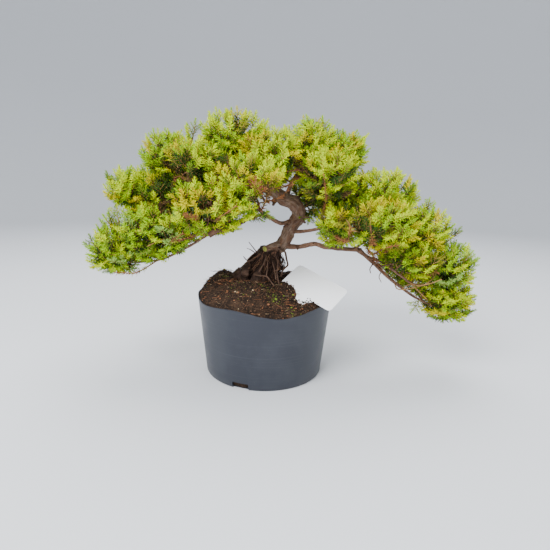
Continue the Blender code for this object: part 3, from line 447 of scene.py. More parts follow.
class WoodSettings(bpy.types.PropertyGroup):
    """Finish of trunk, boughs and roots."""

    trunk_sides: IntProperty(name="Trunk sides", description="Vertices round the trunk",
                             default=36, min=8)
    bough_sides: IntProperty(name="Bough sides", description="Vertices round a bough",
                             default=14, min=6)
    ring_step: length("Ring step", "Distance between two rings of a limb", 0.0011)
    bark_relief: share("Bark relief", "Depth of the bark's ridges, as a share of the radius", 0.15)
    root_fibres: IntProperty(name="Root fibres", description="Fine roots on the flare",
                             default=620, min=0)
    pale_bark: colour("Pale bark", "Ridges of the bark", (0.27, 0.18, 0.125))
    red_bark: colour("Red bark", "Young bark under the flakes", (0.18, 0.092, 0.055))
    dark_bark: colour("Dark bark", "Cracks of the bark", (0.035, 0.020, 0.014))
    cut_wood: colour("Cut wood", "Green wood of the cut stub", (0.38, 0.38, 0.06))
    bough_bark: colour("Bough bark", "Ridges of the boughs' bark", (0.275, 0.150, 0.095))
    root_skin: colour("Root skin", "Bare strands of root", (0.130, 0.073, 0.048))
    root: colour("Root", "Wet fibrous roots", (0.040, 0.022, 0.015))


class PotSettings(bpy.types.PropertyGroup):
    """Sizes and finish of the pot."""

    base_radius: length("Base radius", "Radius of the pot at its foot", 0.0768)
    taper: FloatProperty(name="Taper", description="Growth of the radius for each metre of height",
                         default=0.105)
    wall: length("Wall", "Thickness of the wall", 0.0012)
    rim_height: length("Rim height", "Mean height of the cut rim", 0.0990)
    foot_chamfer: length("Foot chamfer", "Chamfer round the foot", 0.0020)
    steps: IntProperty(name="Steps", description="Vertices round the pot", default=180, min=24)
    plastic: colour("Plastic", "Charcoal plastic", (0.015, 0.018, 0.028))
    scuff: colour("Scuff", "Scratches and lime marks on the plastic", (0.070, 0.077, 0.090))


class SoilSettings(bpy.types.PropertyGroup):
    """What the potting mix is made of."""

    grains: IntProperty(name="Grains", description="Crumbs and chips on the soil", default=5200)
    fibres: IntProperty(name="Fibres", description="Bark and straw fibres", default=1100)
    steps: IntProperty(name="Steps", description="Vertices round the soil", default=150)
    rings: IntProperty(name="Rings", description="Rings of the soil", default=46)
    dark: colour("Dark", "Wet peat", (0.016, 0.010, 0.007))
    brown: colour("Brown", "Crumbs of bark", (0.095, 0.052, 0.030))
    red: colour("Red", "Chips of red bark", (0.23, 0.095, 0.045))
    straw: colour("Straw", "Pale fibres and bits", (0.46, 0.34, 0.20))
    moss: colour("Moss", "Green specks", (0.17, 0.27, 0.02))


class LabelSettings(bpy.types.PropertyGroup):
    """Sizes and finish of the plant label."""

    width: length("Width", "Long edge of the head", 0.0764)
    height: length("Height", "Short edge of the head", 0.0410)
    corner: length("Corner", "Radius of the corners", 0.0050)
    stake_width: length("Stake width", "Width of the stake", 0.0200)
    stake_length: length("Stake length", "Length of the stake", 0.0300)
    fillet: length("Fillet", "Radius between head and stake", 0.0070)
    thickness: length("Thickness", "Thickness of the card", 0.0008)
    white: colour("White", "White plastic", (0.93, 0.94, 0.97))


class StageSettings(bpy.types.PropertyGroup):
    """Floor, light and camera."""

    floor: colour("Floor", "Pale floor and backdrop", (0.58, 0.60, 0.63))
    sky: FloatProperty(name="Sky", description="Strength of the light from all round", default=1.6)
    key: FloatProperty(name="Key light", description="Power in watts", default=64.0)
    fill: FloatProperty(name="Fill light", description="Power in watts", default=14.0)
    top: FloatProperty(name="Top light", description="Power in watts", default=34.0)
    camera_place: FloatVectorProperty(name="Camera place", description="Place of the lens",
                                      default=(0.01274, -0.5307, 0.2445), subtype="TRANSLATION")
    camera_pitch: FloatProperty(name="Pitch", description="How far the camera looks down",
                                default=math.radians(12.49), subtype="ANGLE")
    camera_roll: FloatProperty(name="Roll", description="Turn about the line of sight",
                               default=math.radians(1.35), subtype="ANGLE")
    camera_lens: FloatProperty(name="Lens", description="Focal length in mm", default=27.033)


# ---------------------------------------------------------------- materials


class Finish:
    """A Principled material and the nodes that vary it over the surface."""

    def __init__(self, name, base, roughness, specular=0.5):
        self.material = bpy.data.materials.new(name)
        self.material.use_nodes = True
        self.material.diffuse_color = (*base, 1.0)
        self.nodes = self.material.node_tree.nodes
        self.links = self.material.node_tree.links
        self.shader = self.nodes["Principled BSDF"]
        self.set(self.shader, {"Base Color": (*base, 1.0), "Roughness": roughness,
                               "Specular IOR Level": specular})

    @staticmethod
    def set(node, values):
        """Give a node's inputs constant values."""
        for name, value in values.items():
            node.inputs[name].default_value = value

    def add(self, kind, values=None, **settings):
        """A new node with its settings and input values."""
        node = self.nodes.new(kind)
        for name, value in settings.items():
            setattr(node, name, value)
        self.set(node, values or {})
        return node

    def place(self, scale=(1.0, 1.0, 1.0), attribute=None):
        """Coordinates on the object, or of a limb's own grain, with a scale for each axis."""
        if attribute:
            source = self.add("ShaderNodeAttribute", attribute_name=attribute).outputs["Vector"]
        else:
            source = self.add("ShaderNodeTexCoord").outputs["Object"]
        mapping = self.add("ShaderNodeMapping", {"Scale": scale})
        self.links.new(source, mapping.inputs["Vector"])
        return mapping.outputs["Vector"]

    def noise(self, vector, scale, detail=4.0, rough=0.55, distortion=0.0):
        """The height of a noise pattern."""
        node = self.add("ShaderNodeTexNoise", {"Scale": scale, "Detail": detail,
                                               "Roughness": rough, "Distortion": distortion})
        self.links.new(vector, node.inputs["Vector"])
        return node.outputs["Fac"]

    def ramp(self, factor, stops):
        """Colours along a pattern's height; stops are (place, colour)."""
        node = self.add("ShaderNodeValToRGB")
        stops = [(place, (tone,) * 3 if isinstance(tone, float) else tone)
                 for place, tone in stops]
        elements = node.color_ramp.elements
        while len(elements) < len(stops):
            elements.new(0.5)
        for element, (place, tone) in zip(elements, stops):
            element.position = place
            element.color = (*tone, 1.0)
        self.links.new(factor, node.inputs["Fac"])
        return node.outputs["Color"]

    def mix(self, factor, first, second, blend="MIX"):
        """Mix two colours by a factor."""
        node = self.add("ShaderNodeMix", data_type="RGBA", blend_type=blend)
        for value, socket in ((factor, node.inputs[0]), (first, node.inputs[6]),
                              (second, node.inputs[7])):
            if isinstance(value, bpy.types.NodeSocket):
                self.links.new(value, socket)
            elif isinstance(value, float):
                socket.default_value = value
            else:
                socket.default_value = (*value, 1.0)
        return node.outputs[2]

    def colour(self, source):
        """Let a pattern colour the surface."""
        self.links.new(source, self.shader.inputs["Base Color"])

    def roughness(self, source):
        """Let a pattern make the surface duller or glossier."""
        self.links.new(source, self.shader.inputs["Roughness"])

    def bump(self, height, distance, strength=1.0):
        """Let a pattern raise the surface."""
        node = self.add("ShaderNodeBump", {"Strength": strength, "Distance": distance})
        self.links.new(height, node.inputs["Height"])
        previous = self.shader.inputs["Normal"]
        if previous.links:
            self.links.new(previous.links[0].from_socket, node.inputs["Normal"])
        self.links.new(node.outputs["Normal"], previous)


def darker(tone, factor):
    """A colour times a factor."""
    return tuple(value * factor for value in tone)


def leaf_finish(name, tone):
    """Needles or stems of one colour, matt with a fine grain."""
    finish = Finish(name, tone, 0.70, 0.0)
    grain = finish.noise(finish.place(), 900.0, 2.0)
    finish.roughness(finish.ramp(grain, ((0.3, 0.60), (0.7, 0.80))))
    return finish.material


def bark_finish(name, pale, red, dark, scale=1.0):
    """Flaking bark: long ridges with dark cracks, redder where flakes came off."""
    finish = Finish(name, red, 0.85, 0.25)
    along = finish.place((1.0, 1.0, 0.16), "grain")
    ridges = finish.noise(along, 900.0 * scale, 6.0, 0.65, 0.6)
    flakes = finish.noise(finish.place((1.0, 1.0, 0.5), "grain"), 160.0 * scale, 3.0, 0.5, 0.8)
    tone = finish.mix(finish.ramp(flakes, ((0.42, 0.0), (0.60, 1.0))), red, pale)
    cracked = finish.mix(finish.ramp(ridges, ((0.30, 1.0), (0.52, 0.0))), tone, dark)
    finish.colour(cracked)
    finish.roughness(finish.ramp(ridges, ((0.3, 0.95), (0.7, 0.72))))
    finish.bump(ridges, 0.0007)
    finish.bump(flakes, 0.0006)
    return finish.material


def crumb_finish(name, tone, spread=0.5):
    """Soil crumbs and fibres: a dull colour that varies from crumb to crumb."""
    finish = Finish(name, tone, 0.92, 0.2)
    patches = finish.noise(finish.place(), 420.0, 2.0)
    finish.colour(finish.ramp(patches, ((0.30, darker(tone, 1.0 - spread)), (0.50, tone),
                                        (0.72, darker(tone, 1.0 + spread)))))
    finish.bump(finish.noise(finish.place(), 2600.0, 3.0), 0.0003)
    return finish.material


# ---------------------------------------------------------------- meshes


def linked(mesh, material, smooth=True):
    """An object at the origin that shows a mesh."""
    mesh.materials.append(material)
    if smooth:
        mesh.shade_smooth()
    piece = bpy.data.objects.new(mesh.name, mesh)
    bpy.context.scene.collection.objects.link(piece)
    return piece


def bmesh_piece(bm, name, material):
    """One object from a bmesh, which is freed."""
    mesh = bpy.data.meshes.new(name)
    bm.to_mesh(mesh)
    bm.free()
    return linked(mesh, material)


def finished(piece, slot, *nodes):
    """Let a finished piece ride on the plant, and stand for the nodes that it replaces."""
    if nodes:
        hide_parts(*nodes)
    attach(piece, BODY)


def arrays_of(bm):
    """Vertices and triangles of a bmesh as arrays; the bmesh is freed."""
    bmesh.ops.triangulate(bm, faces=bm.faces[:])
    bm.verts.index_update()
    verts = np.array([vert.co[:] for vert in bm.verts], float)
    faces = np.array([[vert.index for vert in face.verts] for face in bm.faces], int)
    bm.free()
    return verts, faces


def joined(shapes):
    """Join several (vertices, triangles) into one."""
    verts, faces, count = [], [], 0
    for shape_verts, shape_faces in shapes:
        verts.append(shape_verts)
        faces.append(shape_faces + count)
        count += len(shape_verts)
    return np.concatenate(verts), np.concatenate(faces)


def moved(shape, matrix):
    """A shape turned and moved by a 4 x 4 matrix."""
    turn = np.array(matrix)
    return shape[0] @ turn[:3, :3].T + turn[:3, 3], shape[1]


def array_piece(name, verts, faces, material, smooth=True):
    """One object from arrays of vertices and triangles."""
    mesh = bpy.data.meshes.new(name)
    mesh.vertices.add(len(verts))
    mesh.vertices.foreach_set("co", verts.astype(np.float32).ravel())
    mesh.loops.add(len(faces) * 3)
    mesh.loops.foreach_set("vertex_index", faces.astype(np.int32).ravel())
    mesh.polygons.add(len(faces))
    mesh.polygons.foreach_set("loop_start", np.arange(0, len(faces) * 3, 3, dtype=np.int32))
    mesh.update(calc_edges=True)
    return linked(mesh, material, smooth)


class Heap:
    """Copies of small shapes, to be joined into pieces that each hold one kind."""

    def __init__(self):
        self.copies = []

    def add(self, shape, matrix):
        """Note a copy of a shape at a place."""
        self.copies.append((shape, matrix))

    def pieces(self, name, material, smooth=True):
        """Join the copies into as many pieces as they need."""
        made, shapes, triangles = [], [], 0
        for number, (shape, matrix) in enumerate(self.copies, 1):
            shapes.append(moved(shape, matrix))
            triangles += len(shape[1])
            if triangles > PIECE_TRIANGLES or number == len(self.copies):
                made.append(array_piece(f"{name}_{len(made) + 1}", *joined(shapes), material,
                                        smooth))
                shapes, triangles = [], 0
        return made


def compass(angle):
    """The level direction at an angle from +X, in radians."""
    return Vector((math.cos(angle), math.sin(angle), 0.0))


# ---------------------------------------------------------------- limbs


def smooth_route(joints, steps):
    """Points on a smooth curve through the joints, in metres."""
    joints = [Vector(joint) * MM for joint in joints]
    ends = [2 * joints[0] - joints[1]] + joints + [2 * joints[-1] - joints[-2]]
    route = []
    for before, start, end, after in zip(ends, ends[1:], ends[2:], ends[3:]):
        for step in range(steps):
            t = step / steps
            route.append(0.5 * (2 * start + (end - before) * t
                                + (2 * before - 5 * start + 4 * end - after) * t ** 2
                                + (3 * start - before - 3 * end + after) * t ** 3))
    return route + [joints[-1]]


def evenly(route, step):
    """Points at even steps along a route, and how far along each of them lies."""
    lengths = [0.0]
    for start, end in zip(route, route[1:]):
        lengths.append(lengths[-1] + (end - start).length)
    count = max(3, round(lengths[-1] / step))
    points, places, segment = [], [], 0
    for number in range(count + 1):
        place = lengths[-1] * number / count
        while segment < len(lengths) - 2 and lengths[segment + 1] < place:
            segment += 1
        t = (place - lengths[segment]) / max(1e-9, lengths[segment + 1] - lengths[segment])
        points.append(route[segment].lerp(route[segment + 1], t))
        places.append(place)
    return points, places


def grow_limb(bm, route, radii, sides, step, relief, foot_flare=0.0, phase=0.0, ridges=4.5):
    """A limb with barky ridges: a ring of vertices extruded step by step along its route.

    The relief is a share of the radius, and the phase makes limbs differ.
    """
    grain = bm.verts.layers.float_vector.get("grain") or bm.verts.layers.float_vector.new("grain")
    points, places = evenly(route, step)
    total = places[-1]
    ring = bmesh.ops.create_circle(bm, segments=sides, radius=1.0)["verts"]
    for vert in ring:
        vert[grain] = Vector((vert.co.x, vert.co.y, 0.0))
    edges = list({edge for vert in ring for edge in vert.link_edges})
    across = (points[1] - points[0]).orthogonal().normalized()
    for number, (point, place) in enumerate(zip(points, places)):
        ahead = points[min(number + 1, len(points) - 1)] - points[max(number - 1, 0)]
        along = ahead.normalized()
        across = (across - along * across.dot(along)).normalized()
        other = along.cross(across)
        radius = float(np.interp(place / total * (len(radii) - 1), range(len(radii)), radii))
        radius *= 1.0 + foot_flare * math.exp(-place / (2.2 * radii[0]))
        if number == 0:
            bmesh.ops.holes_fill(bm, edges=edges, sides=0)
        else:
            grown = bmesh.ops.extrude_edge_only(bm, edges=edges)["geom"]
            ring = [item for item in grown if isinstance(item, bmesh.types.BMVert)]
            inside = set(ring)
            edges = [item for item in grown if isinstance(item, bmesh.types.BMEdge)
                     and item.verts[0] in inside and item.verts[1] in inside]
        for vert in ring:
            way = Vector((vert[grain].x, vert[grain].y, 0.0)).normalized()
            lump = noise.noise(Vector((way.x * 1.3 + phase, way.y * 1.3, place * 70.0)))
            ridge = noise.noise(Vector((way.x * ridges + phase, way.y * ridges, place * 190.0)))
            size = radius * (1.0 + relief * (0.9 * lump + 0.8 * ridge))
            vert.co = point + (across * way.x + other * way.y) * size
            vert[grain] = way * radii[0] + Vector((0, 0, place))
    bmesh.ops.holes_fill(bm, edges=edges, sides=0)


def grow_listed(bm, rows, bends, sides, step, relief, foot_flare, phases, ridges):
    """A small limb for each row of foot radius, tip radius and joints (mm)."""
    for (foot, tip, joints), phase in zip(rows, phases):
        grow_limb(bm, smooth_route(joints, bends), (foot * MM, tip * MM), sides, step, relief,
                  foot_flare, phase, ridges)


def limb_shapes():
    """Route and radii of the trunk, its stub and every bough, by name, in metres."""
    listed = [("trunk", TRUNK_RADII, TRUNK_ROUTE), ("stub", STUB_RADII, STUB_ROUTE)]
    listed += [(name, (foot, tip), joints) for name, _, foot, tip, joints in LIMBS]
    return {name: (smooth_route(joints, 8), [radius * MM for radius in radii])
            for name, radii, joints in listed}


def along_limb(route, start):
    """The point of a route at a share of it, in mm."""
    return route[round(start * (len(route) - 1))] / MM


def clear_of_limbs(point, limbs):
    """Whether a point keeps the needles' distance from every limb listed."""
    for route, radii in limbs:
        for number, (start, end) in enumerate(zip(route, route[1:])):
            along = end - start
            t = max(0.0, min(1.0, (point - start).dot(along) / along.length_squared))
            radius = radii[round(number / (len(route) - 1) * (len(radii) - 1))]
            if (point - start - along * t).length < radius + LIMB_MARGIN:
                return False
    return True


# ---------------------------------------------------------------- growth of the foliage


class Space:
    """The room that a foliage mass may fill: a rounded box, shared fairly with its neighbours."""

    def __init__(self, limb, middle, half, mood):
        self.limb = limb
        self.middle = Vector(middle) * MM
        self.half = Vector(half) * MM
        self.mood = mood
        self.neighbours = []
        self.limbs = []

    def depth(self, point):
        """0 at the middle of the space and 1 on its skin."""
        return sum(abs(away / half) ** SQUARENESS for away, half in
                   zip(point - self.middle, self.half)) ** (1.0 / SQUARENESS)

    def skin(self, direction, reach=1.0):
        """The point at a share of the way from the middle to the skin that the needles leave."""
        reach /= sum(abs(part) ** SQUARENESS for part in direction) ** (1.0 / SQUARENESS)
        way = Vector(a * (b - OVERHANG) for a, b in zip(direction, self.half))
        return self.middle + way * reach

    def outward(self, direction):
        """The way that the skin faces where a direction meets it."""
        return Vector(a / b for a, b in zip(direction, self.half)).normalized()

    def area(self):
        """Rough area of the skin."""
        half = self.half
        return 4 * math.pi * (half.x * half.y + half.y * half.z + half.z * half.x) / 3

    def meet(self, spaces, shapes):
        """Note the neighbours and the limbs that come near."""
        size = max(self.half)
        self.neighbours = [other for other in spaces if other is not self
                           and (other.middle - self.middle).length < size + max(other.half)]
        self.limbs = [(route[::4], radii) for route, radii in shapes.values()
                      if min(self.depth(point) for point in route) < LIMB_NEAR]

    def holds(self, point):
        """Whether a point lies in this space, and deeper in it than in any neighbour's."""
        own = self.depth(point)
        return own <= SPACE_EDGE and all(own < other.depth(point) for other in self.neighbours)


def even_directions(count, turn):
    """Directions spread evenly over a sphere."""
    golden = math.pi * (3.0 - math.sqrt(5.0))
    for number in range(count):
        z = 1.0 - (2 * number + 1) / count
        ring = math.sqrt(1.0 - z * z)
        angle = golden * number + turn
        yield Vector((ring * math.cos(angle), ring * math.sin(angle), z))


def needle_shape(settings):
    """One needle along +Z: a blade folded along its middle, widest at a third of its length."""
    bm = bmesh.new()
    bmesh.ops.create_circle(bm, cap_ends=True, segments=4, radius=1.0)
    half_width = settings.needle_width / 2
    long_way = []
    for vert in bm.verts:
        if abs(vert.co.x) > 0.5:
            vert.co = (math.copysign(half_width, vert.co.x), half_width * NEEDLE_FOLD,
                       settings.needle_length * NEEDLE_WIDEST)
        else:
            vert.co = (0.0, 0.0, settings.needle_length if vert.co.y > 0 else 0.0)
            long_way.append(vert)
    bmesh.ops.connect_verts(bm, verts=long_way)
    return arrays_of(bm)


def shoot_shapes(needle, total, source):
    """The tip needles, the older needles, the stem and the bud of one shoot along +Z."""
    bend = source.uniform(0.05, 0.16) * total

    def axis(place):
        return Vector((bend * (place / total) ** 2, 0.0, place))

    tips, older = [], []
    place = 0.10 * total
    turn = source.uniform(0, math.pi)
    while place < total:
        near = max(0.0, min(1.0, (place - (total - TIP_PART)) / TIP_PART))
        size = (1.0 - TIP_SHRINK * near) * source.uniform(0.88, 1.08)
        lean = math.radians(LEANS[0] - LEANS[1] * near)
        ahead = (axis(min(total, place + 0.001)) - axis(place - 0.001)).normalized()
        frame_turn = ahead.to_track_quat("Z", "Y").to_matrix().to_4x4()
        for number in range(NEEDLES_ROUND):
            angle = turn + number * 2 * math.pi / NEEDLES_ROUND + source.uniform(-0.18, 0.18)
            tilt = lean + math.radians(source.uniform(-8.0, 8.0))
            matrix = (Matrix.Translation(axis(place)) @ frame_turn
                      @ Matrix.Rotation(angle, 4, "Z") @ Matrix.Rotation(tilt, 4, "X")
                      @ Matrix.Diagonal((size * (1.0 + 0.25 * near), size, size, 1.0)))
            (tips if near > 0.0 else older).append(moved(needle, matrix))
        turn += math.pi / NEEDLES_ROUND + source.uniform(-0.1, 0.1)
        place += WHORL_STEPS[0] - WHORL_STEPS[1] * near
    for number in range(TIP_NEEDLES):
        angle = turn + number * math.pi / 3
        matrix = (Matrix.Translation(axis(total)) @ Matrix.Rotation(angle, 4, "Z")
                  @ Matrix.Rotation(math.radians(20.0), 4, "X")
                  @ Matrix.Scale(TIP_NEEDLE_SIZE, 4))
        tips.append(moved(needle, matrix))
    stem = swept([axis(total * t) for t in (0.0, 0.45, 0.92)], STEM_RADII, 3)
    bm = bmesh.new()
    bmesh.ops.create_cone(bm, segments=5, radius1=BUD[0], radius2=BUD[1], depth=BUD[2],
                          cap_ends=True, matrix=Matrix.Translation(axis(total) + UP * BUD[0]))
    return {"tips": joined(tips), "older": joined(older), "stem": stem, "bud": arrays_of(bm)}


def scale_shape(needle, source):
    """Dead scales round a short piece of twig along +Z."""
    scales = []
    for ring in range(3):
        for number in range(3):
            angle = ring * math.pi / 3 + number * 2 * math.pi / 3 + source.uniform(-0.5, 0.5)
            size = source.uniform(0.40, 0.95)
            matrix = (Matrix.Translation((0.0, 0.0, ring * 0.0015))
                      @ Matrix.Rotation(angle, 4, "Z")
                      @ Matrix.Rotation(math.radians(source.uniform(32.0, 80.0)), 4, "X")
                      @ Matrix.Diagonal((size, size, size, 1.0)))
            scales.append(moved(needle, matrix))
    return joined(scales)


class Openness:
    """Tells how open the crown is at a point."""

    def __init__(self, shapes):
        rows = [(*middle, bare, dull) for middle, bare, dull in HOLLOWS]
        along, ahead = OPEN_STEPS
        for name in OPEN_BOUGHS:
            route, _ = shapes[name]
            for point in evenly(route, along)[0]:
                for step in range(1, 4):
                    middle = (point + OPEN_WAY * (ahead * step)) / MM
                    rows.append((*middle, OPEN_RADIUS, OPEN_RADIUS))
        table = np.array(rows) * MM
        self.middles, self.bare, self.dull = table[:, :3], table[:, 3], table[:, 4]

    def at(self, point):
        """Bare, dull (dead needles and painted shade) or leafy."""
        away = np.sqrt(((self.middles - np.array(point)) ** 2).sum(axis=1))
        if (away < self.bare).any():
            return "bare"
        return "dull" if (away < self.dull).any() else "leafy"


def swept(route, radii, sides):
    """A thin twig along a few points, as arrays."""
    ring = np.arange(sides) * 2 * math.pi / sides
    across = (route[1] - route[0]).orthogonal().normalized()
    verts = []
    for number, (point, radius) in enumerate(zip(route, radii)):
        ahead = route[min(number + 1, len(route) - 1)] - route[max(number - 1, 0)]
        along = ahead.normalized()
        across = (across - along * across.dot(along)).normalized()
        other = np.array(along.cross(across))
        verts.append(np.array(point) + radius * (np.outer(np.cos(ring), np.array(across))
                                                 + np.outer(np.sin(ring), other)))
    faces = []
    for number in range(len(route) - 1):
        for side in range(sides):
            a, b = number * sides + side, number * sides + (side + 1) % sides
            faces += [(a, b, b + sides), (a, b + sides, a + sides)]
    return np.concatenate(verts), np.array(faces)


def pose(base, direction, bend_way, size):
    """Where a shape that lies along +Z and bends towards +X is put."""
    z = direction.normalized()
    x = (bend_way - z * bend_way.dot(z)).normalized()
    y = z.cross(x)
    return np.array([[x.x * size, y.x * size, z.x * size, base.x],
                     [x.y * size, y.y * size, z.y * size, base.y],
                     [x.z * size, y.z * size, z.z * size, base.z],
                     [0.0, 0.0, 0.0, 1.0]])


def pick(shares, source):
    """One of the names in a list of (name, share)."""
    draw = source.random()
    for name, part in shares:
        draw -= part
        if draw < 0:
            return name
    return shares[0][0]


class Grower:
    """Grows the sprays of every mass and sorts their needles by colour."""

    def __init__(self, settings, shapes):
        self.settings = settings
        self.openness = Openness(shapes)
        self.needles = {}
        self.stems = Heap()
        self.buds = Heap()
        self.twigs = []
        self.scaly_twigs = []
        self.bare_twigs = []
        source = random.Random(settings.seed)
        needle = needle_shape(settings)
        self.leaders = [shoot_shapes(needle, settings.leader_length, source) for _ in range(5)]
        self.sides = [shoot_shapes(needle, settings.side_length, source) for _ in range(6)]
        self.scales = [scale_shape(needle, source) for _ in range(4)]

    def needles_of(self, colour_name):
        """The heap of needles of one colour."""
        return self.needles.setdefault(colour_name, Heap())

    def shoot(self, space, shapes, base, direction, total, colours, source):
        """One shoot, if it stays in its space and off the limbs."""
        tip = base + direction.normalized() * total
        middle = base.lerp(tip, 0.5)
        if not space.holds(tip) or "bare" in (self.openness.at(tip), self.openness.at(middle)):
            return False
        if not all(clear_of_limbs(point, space.limbs) for point in (tip, middle)):
            return False
        shape = source.choice(shapes)
        stray = Vector(source.uniform(-0.6, 0.6) for _ in range(3))
        full = self.settings.leader_length if shapes is self.leaders else self.settings.side_length
        matrix = pose(base, direction, UP + stray, total / full)
        tip_colour, older_shaded_colour = colours
        self.needles_of(tip_colour).add(shape["tips"], matrix)
        self.needles_of(older_shaded_colour).add(shape["older"], matrix)
        self.stems.add(shape["stem"], matrix)
        if source.random() < self.settings.bud_share and tip_colour in BUDDING:
            self.buds.add(shape["bud"], matrix)
        return True

    def colours(self, mood, tip, facing, reach, source):
        """Tip and older colour of a spray, by its mood and by how much light it gets."""
        # Painted shade: a spray that faces down or lies deep in its mass swaps its colour for the
        # darker one in SHADED, and sprays deep inside or near a hollow take the dull mood of dead
        # needles and painted shade
        light = 0.55 * facing.z + 0.9 * (reach - 0.8) + source.uniform(-0.25, 0.25)
        dull = reach < INNER_REACH or self.openness.at(tip) != "leafy"
        name = pick(MOODS["dull" if dull else mood], source)
        if light < DARK_SIDE and not dull:
            name = SHADED.get(name, name)
        # Painted shade, partly real: the older needles take the next darker colour, as needles
        # darken with age, and half the sprays go one step darker still for dark gaps between the
        # tufts
        older = UNDER[name]
        return name, UNDER[older] if source.random() < 0.5 else older

    def fan(self, space, base, facing, size, colours, source):
        """A leader with side shoots left and right of it; tells whether the leader had room."""
        total = self.settings.leader_length * size
        if not self.shoot(space, self.leaders, base, facing, total, colours, source):
            return False
        side = facing.cross(UP + Vector(source.uniform(-0.8, 0.8) for _ in range(3))).normalized()
        hand = source.choice((-1.0, 1.0))
        for number, t in enumerate(SIDE_PLACES):
            along = (facing + side * hand * source.uniform(0.75, 1.15)
                     + UP * source.uniform(0.0, 0.25)).normalized()
            long = self.settings.side_length * size * (1.12 - 0.16 * number)
            self.shoot(space, self.sides, base + facing * (total * t), along,
                       long * source.uniform(0.85, 1.15), colours, source)
            hand = -hand
        return True

    def spray(self, space, direction, reaches, source):
        """A fan whose tip ends on the mass's skin, or as near to it as there is room."""
        stray = Vector(source.uniform(-0.35, 0.35) for _ in range(3))
        facing = (space.outward(direction) + stray + UP * SPRAY_LIFT).normalized()
        size = source.uniform(0.82, 1.12)
        total = self.settings.leader_length * size
        for reach in reaches:
            tip = space.skin(direction, reach)
            base = tip - facing * total
            if space.holds(tip) and space.holds(base.lerp(tip, 0.3)):
                colours = self.colours(space.mood, tip, facing, reach, source)
                return base if self.fan(space, base, facing, size, colours, source) else None
        return None

    def mass(self, space, shapes, number):
        """Every spray of one mass, on twigs that fork from the end of its stem."""
        settings = self.settings
        source = random.Random(settings.seed * 100 + number)
        count = max(7, round(space.area() * STEMS_PER_AREA))
        mains = [space.skin(direction, 0.55)
                 for direction in even_directions(count, source.uniform(0, 2 * math.pi))]
        route, radii = shapes[space.limb]
        self.twigs.append(swept([route[-1], route[-1].lerp(space.middle, 0.5), space.middle],
                                [radii[-1], radii[-1] * 0.9, 0.0012], 6))
        used = set()
        skin = round(space.area() * settings.sprays_per_area)
        inner = round(skin * settings.inner_share)
        turn = source.uniform(0, 2 * math.pi)
        jobs = [(direction, SKIN_REACHES) for direction in even_directions(skin, turn)]
        jobs += [(direction, INNER_REACHES) for direction in even_directions(inner, turn + 1.0)]
        for direction, reaches in jobs:
            lump = 0.07 * noise.noise(direction * 2.6 + space.middle * 60.0)
            jitter = source.uniform(-0.05, 0.02)
            reaches = [reach + lump + jitter for reach in reaches]
            base = self.spray(space, direction, reaches, source)
            if base is None:
                continue
            main = min(range(count), key=lambda index: (mains[index] - base).length_squared)
            used.add(main)
            fork = space.middle.lerp(mains[main], source.uniform(0.45, 0.95))
            knee = fork.lerp(base, 0.55) + Vector(source.uniform(-1, 1) for _ in range(3)) * 0.0015
            self.twigs.append(swept([fork, knee, base], [0.0008, 0.00065, 0.0005], 3))
        for main in used:
            knee = space.middle.lerp(mains[main], 0.5)
            knee += Vector(source.uniform(-1, 1) for _ in range(3)) * 0.002
            self.twigs.append(swept([space.middle, knee, mains[main]],
                                    [0.0016, 0.0012, 0.0008], 4))

    def leafy_bough(self, name, start, mood, shapes, number):
        """Sprays on the upper sides of a bough, from a share of its length to its end."""
        source = random.Random(self.settings.seed * 1000 + number)
        room = BoughRoom(shapes[name])
        route, radii = shapes[name]
        points, _ = evenly(route, BOUGH_SPRAY_STEP)
        first = round(start * (len(points) - 1))
        for before, point in zip(points[first:], points[first + 1:]):
            along = (point - before).normalized()
            around = Vector(source.gauss(0, 1) for _ in range(3))
            around = (around - along * around.dot(along)).normalized()
            if around.z < -0.1 and source.random() < 0.85:
                around = -around
            if name in OPEN_BOUGHS:
                around = (around + OPEN_SIDE).normalized()
            facing = (along * source.uniform(0.3, 0.9) + around + UP * 0.35).normalized()
            size = source.uniform(0.70, 1.0)
            tip = point + facing * (self.settings.leader_length * size)
            colours = self.colours(mood, tip, facing, BOUGH_REACH, source)
            self.fan(room, point + around * (radii[-1] * 0.8), facing, size, colours, source)

    def stray(self, limb, start, joints, mood, shapes):
        """A twig from a limb through a few joints, with fans on its last stretch."""
        curve = smooth_route((along_limb(shapes[limb][0], start), *joints), 4)
        self.twigs.append(swept(curve, [0.0009] * len(curve), 4))
        source = random.Random(round(curve[-1].length * 1e5))
        room = BoughRoom(shapes[limb])
        facing = (curve[-1] - curve[-2]).normalized()
        for back, spread in STRAY_FANS:
            base = curve[round((1.0 - back) * (len(curve) - 1))]
            aside = facing.cross(Vector((0.0, 1.0, 0.0))).normalized() * spread
            name = pick(MOODS[mood], source)
            self.fan(room, base, (facing + aside + UP * 0.2).normalized(), 0.85,
                     (name, UNDER[name]), source)

    def scaly_twig(self, limb, start, joints, shapes, scaly):
        """An old twig from a limb through a few joints, in dead scales where they still hold."""
        foot = along_limb(shapes[limb][0], start)
        source = random.Random(round(foot.length * 10.0))
        joints = [Vector(joint) + Vector(source.uniform(-2.5, 2.5) for _ in range(3))
                  for joint in joints]
        curve = smooth_route((foot, *joints), 5)
        points, places = evenly(curve, 0.0045)
        radii = [0.0009 - 0.0004 * place / places[-1] for place in places]
        (self.scaly_twigs if scaly else self.bare_twigs).append(swept(points, radii, 5))
        if scaly:
            for point, after in list(zip(points, points[1:]))[len(points) // 4:]:
                matrix = pose(point, after - point, UP + Vector((0.3, 0.2, 0.0)), 1.0)
                kind = source.choice(("rust", "rust", "brown", "olive"))
                self.needles_of(kind).add(source.choice(self.scales), matrix)


class BoughRoom:
    """The room round a leafy bough: open on all sides but for the bough."""

    def __init__(self, shape):
        route, radii = shape
        self.limbs = [(route[::4], radii)]

    @staticmethod
    def holds(point):
        """Whether a spray may end at a point."""
        return point.z > LOWEST_SPRAY


# ---------------------------------------------------------------- operators


class Builder(bpy.types.Operator):
    """Base of the operators that make pieces."""

    bl_options = {"REGISTER", "UNDO"}


